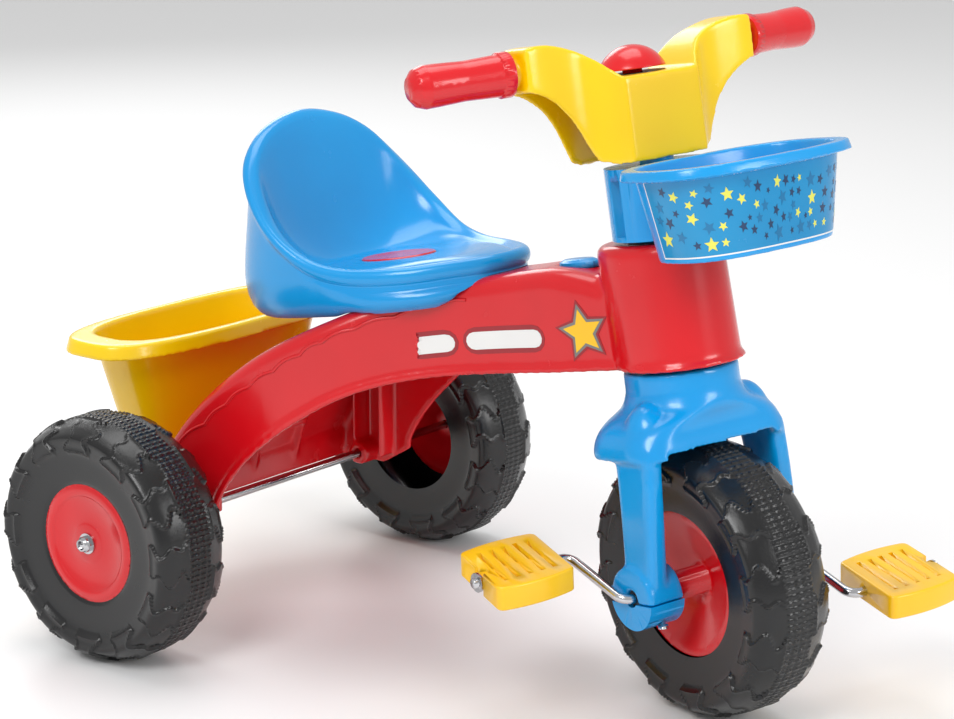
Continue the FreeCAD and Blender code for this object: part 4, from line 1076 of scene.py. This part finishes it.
# ---------------------------------------------------------------- scalloped relief on the frame
@dataclass
class Scallops:
    """A raised wavy line that follows the upper edge of the frame's side.

    The path's places are in millimetres, forward of the rear axle and up from the floor.
    """

    side: Side
    skin: Skin
    shift: float
    path: tuple[tuple[float, float], ...] = (
        (2, 172), (34, 194), (58, 215), (82, 234), (106, 251), (129, 267),
        (146, 279), (169, 291), (197, 302), (229, 313), (256, 320))
    wave: float = 2.6 * MM
    thickness: float = 1.5 * MM
    reach: float = 0.16

    def build(self) -> None:
        """Lay the wavy bead on the frame's side."""
        sign = self.side.value
        way = Vector((0.0, -sign, 0.0))
        line = []
        for (x0, z0), (x1, z1) in zip(self.path, self.path[1:]):
            along = Vector((x1 - x0, 0, z1 - z0)) * MM
            across = Vector((-along.z, 0, along.x)).normalized()
            for i in range(10):
                t = i / 10
                bulge = abs(math.sin(math.pi * t)) * self.wave
                start = Vector((x0 * MM + self.shift, 0.2 * sign, z0 * MM)) + along * t + across * bulge
                line.append(self.skin.drop(start, way, 0.0))
        line = [p for p in line if abs(p.y) < self.reach]
        curve = bpy.data.curves.new(f"scallop_line_{self.side.word}", "CURVE")
        curve.dimensions = "3D"
        curve.bevel_depth = self.thickness
        curve.bevel_resolution = 3
        curve.use_fill_caps = True
        spline = curve.splines.new("POLY")
        spline.points.add(len(line) - 1)
        for target, p in zip(spline.points, line):
            target.co = (*p, 1.0)
        obj = bpy.data.objects.new(f"scallop_bead_{self.side.word}", curve)
        bpy.context.scene.collection.objects.link(obj)
        only(obj)
        bpy.ops.object.convert(target="MESH")
        smooth(obj, 60)
        dress(obj, RED, "frame")
        LOG.info("scallops on the %s", self.side.word)


# ---------------------------------------------------------------- studio
@dataclass
class Studio:
    """A flat pale floor, soft lamps and the camera."""

    turn: float = 38.61
    tilt: float = 14.33
    lens: float = 101.706

    def floor(self) -> None:
        """A broad pale floor."""
        bpy.ops.object.select_all(action="DESELECT")
        bpy.ops.mesh.primitive_plane_add(size=60.0, location=(0, 0, 0))
        obj = bpy.context.active_object
        obj.name = "studio_floor"
        material = bpy.data.materials.new("studio_white")
        material.use_nodes = True
        tree = material.node_tree
        noise = tree.nodes.new("ShaderNodeTexNoise")
        noise.inputs["Scale"].default_value = 2.0
        shade = ramp_between(tree, noise.outputs["Fac"], (0.0, 1.0), (0.45, 0.55))
        tree.links.new(shade, tree.nodes["Principled BSDF"].inputs["Roughness"])
        tree.nodes["Principled BSDF"].inputs["Base Color"].default_value = (0.93, 0.93, 0.93, 1)
        obj.data.materials.append(material)

    def lamp(self, name: str, place: tuple[float, float, float], size: float, watts: float) -> None:
        """A square soft lamp that looks at the object's middle.

        Args:
            name: the lamp's name.
            place: where it hangs.
            size: the length of its side.
            watts: its power.
        """
        data = bpy.data.lights.new(name, "AREA")
        data.size = size
        data.energy = watts
        obj = bpy.data.objects.new(name, data)
        obj.location = place
        obj.rotation_euler = (Vector((0, 0, 0.25)) - Vector(place)).to_track_quat("-Z", "Y").to_euler()
        bpy.context.scene.collection.objects.link(obj)

    def world(self) -> None:
        """Even white surroundings."""
        world = bpy.data.worlds.new("studio_air")
        world.use_nodes = True
        world.node_tree.nodes["Background"].inputs["Color"].default_value = (1, 1, 1, 1)
        world.node_tree.nodes["Background"].inputs["Strength"].default_value = 0.62
        bpy.context.scene.world = world

    def camera(self, place: Vector) -> None:
        """The camera, tilted down and turned towards the object.

        Args:
            place: where it stands, in the row frame.
        """
        data = bpy.data.cameras.new("studio_camera")
        data.lens = self.lens
        data.sensor_width = 36.0
        obj = bpy.data.objects.new("studio_camera", data)
        obj.location = place
        obj.rotation_euler = (math.radians(90 - self.tilt), 0.0, math.radians(self.turn))
        bpy.context.scene.collection.objects.link(obj)
        bpy.context.scene.camera = obj

    def build(self, shift: float) -> None:
        """Set up the whole studio.

        Args:
            shift: the rear axle's place along X.
        """
        self.floor()
        self.lamp("key_lamp", (0.6, -2.4, 2.4), 1.2, 42)
        self.lamp("fill_lamp", (2.8, 0.2, 1.4), 1.0, 22)
        self.lamp("top_lamp", (-0.6, 0.4, 3.2), 2.0, 34)
        self.lamp("rear_lamp", (-2.6, 1.8, 1.8), 1.4, 20)
        self.world()
        self.camera(Vector((1.6205 + shift, -1.7410, 0.8259)))
        bpy.context.scene.view_settings.view_transform = "Standard"


def main() -> None:
    """Dress the whole tricycle and set up the studio."""
    logging.basicConfig(level=logging.INFO, format="%(name)s: %(message)s")
    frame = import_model()
    joints = {joint["name"]: joint for joint in frame["joints"]}
    build_mould_grain()
    build_dust()
    rear_hub = Vector(joints["left_rear_wheel_spin"]["pos_m"])
    shift = rear_hub.x
    mouldings = [Moulding("frame_shell", "frame", RED, 2.0 * MM, 7),
                 Moulding("bucket", "frame", YELLOW, 1.9 * MM, 5),
                 Moulding("fork", "steering", BLUE, 1.7 * MM, 16),
                 Moulding("handlebar", "steering", YELLOW, 1.5 * MM, 16),
                 Moulding("basket", "steering", BLUE, 1.3 * MM, 5)]
    built = {item.node: item.build(frame) for item in mouldings}
    PlainNodes(RED, ("grip_left", "grip_right", "horn_button", "rear_hub_left",
                     "rear_hub_right", "front_hub_left", "front_hub_right")).build(frame)
    PlainNodes(BLUE, ("beam_cap", "foot_cap_left", "foot_cap_right", "basket_collar")).build(frame)
    PlainNodes(AMBER, ("pedal_left", "pedal_right")).build(frame)
    PlainNodes(STEEL, ("rear_axle", "crank", "axle_washers", "axle_lock_nuts", "seat_screws",
                       "bucket_screws", "foot_cap_screws", "handlebar_bolt", "pedal_clips")).build(frame)
    PlainNodes(DARK, ("head_bush_lower", "head_bush_upper", "axle_spacer_tubes", "foot_bushes",
                      "horn_seat")).build(frame)
    skin = Skin(built["frame_shell"])
    Seat(Vector((150 * MM + shift, 0, 300 * MM))).build(skin)
    for side in Side:
        joint = joints[f"{side.word}_rear_wheel_spin"]
        Tyre(f"rear_tyre_{side.word}", f"{side.word}_rear_wheel", Vector(joint["pos_m"]),
             Vector((0, side.value, 0))).build(frame)
    front = joints["front_wheel_spin"]
    Tyre("front_tyre", "front_wheel", Vector(front["pos_m"]), Vector(front["axis"])).build(frame)
    for side in Side:
        BeamLabel(side, skin).build()
        Scallops(side, skin, shift).build()
    BasketLabel(Steering.read(frame["joints"])).build()
    Studio().build(shift)


if __name__ == "__main__":
    main()
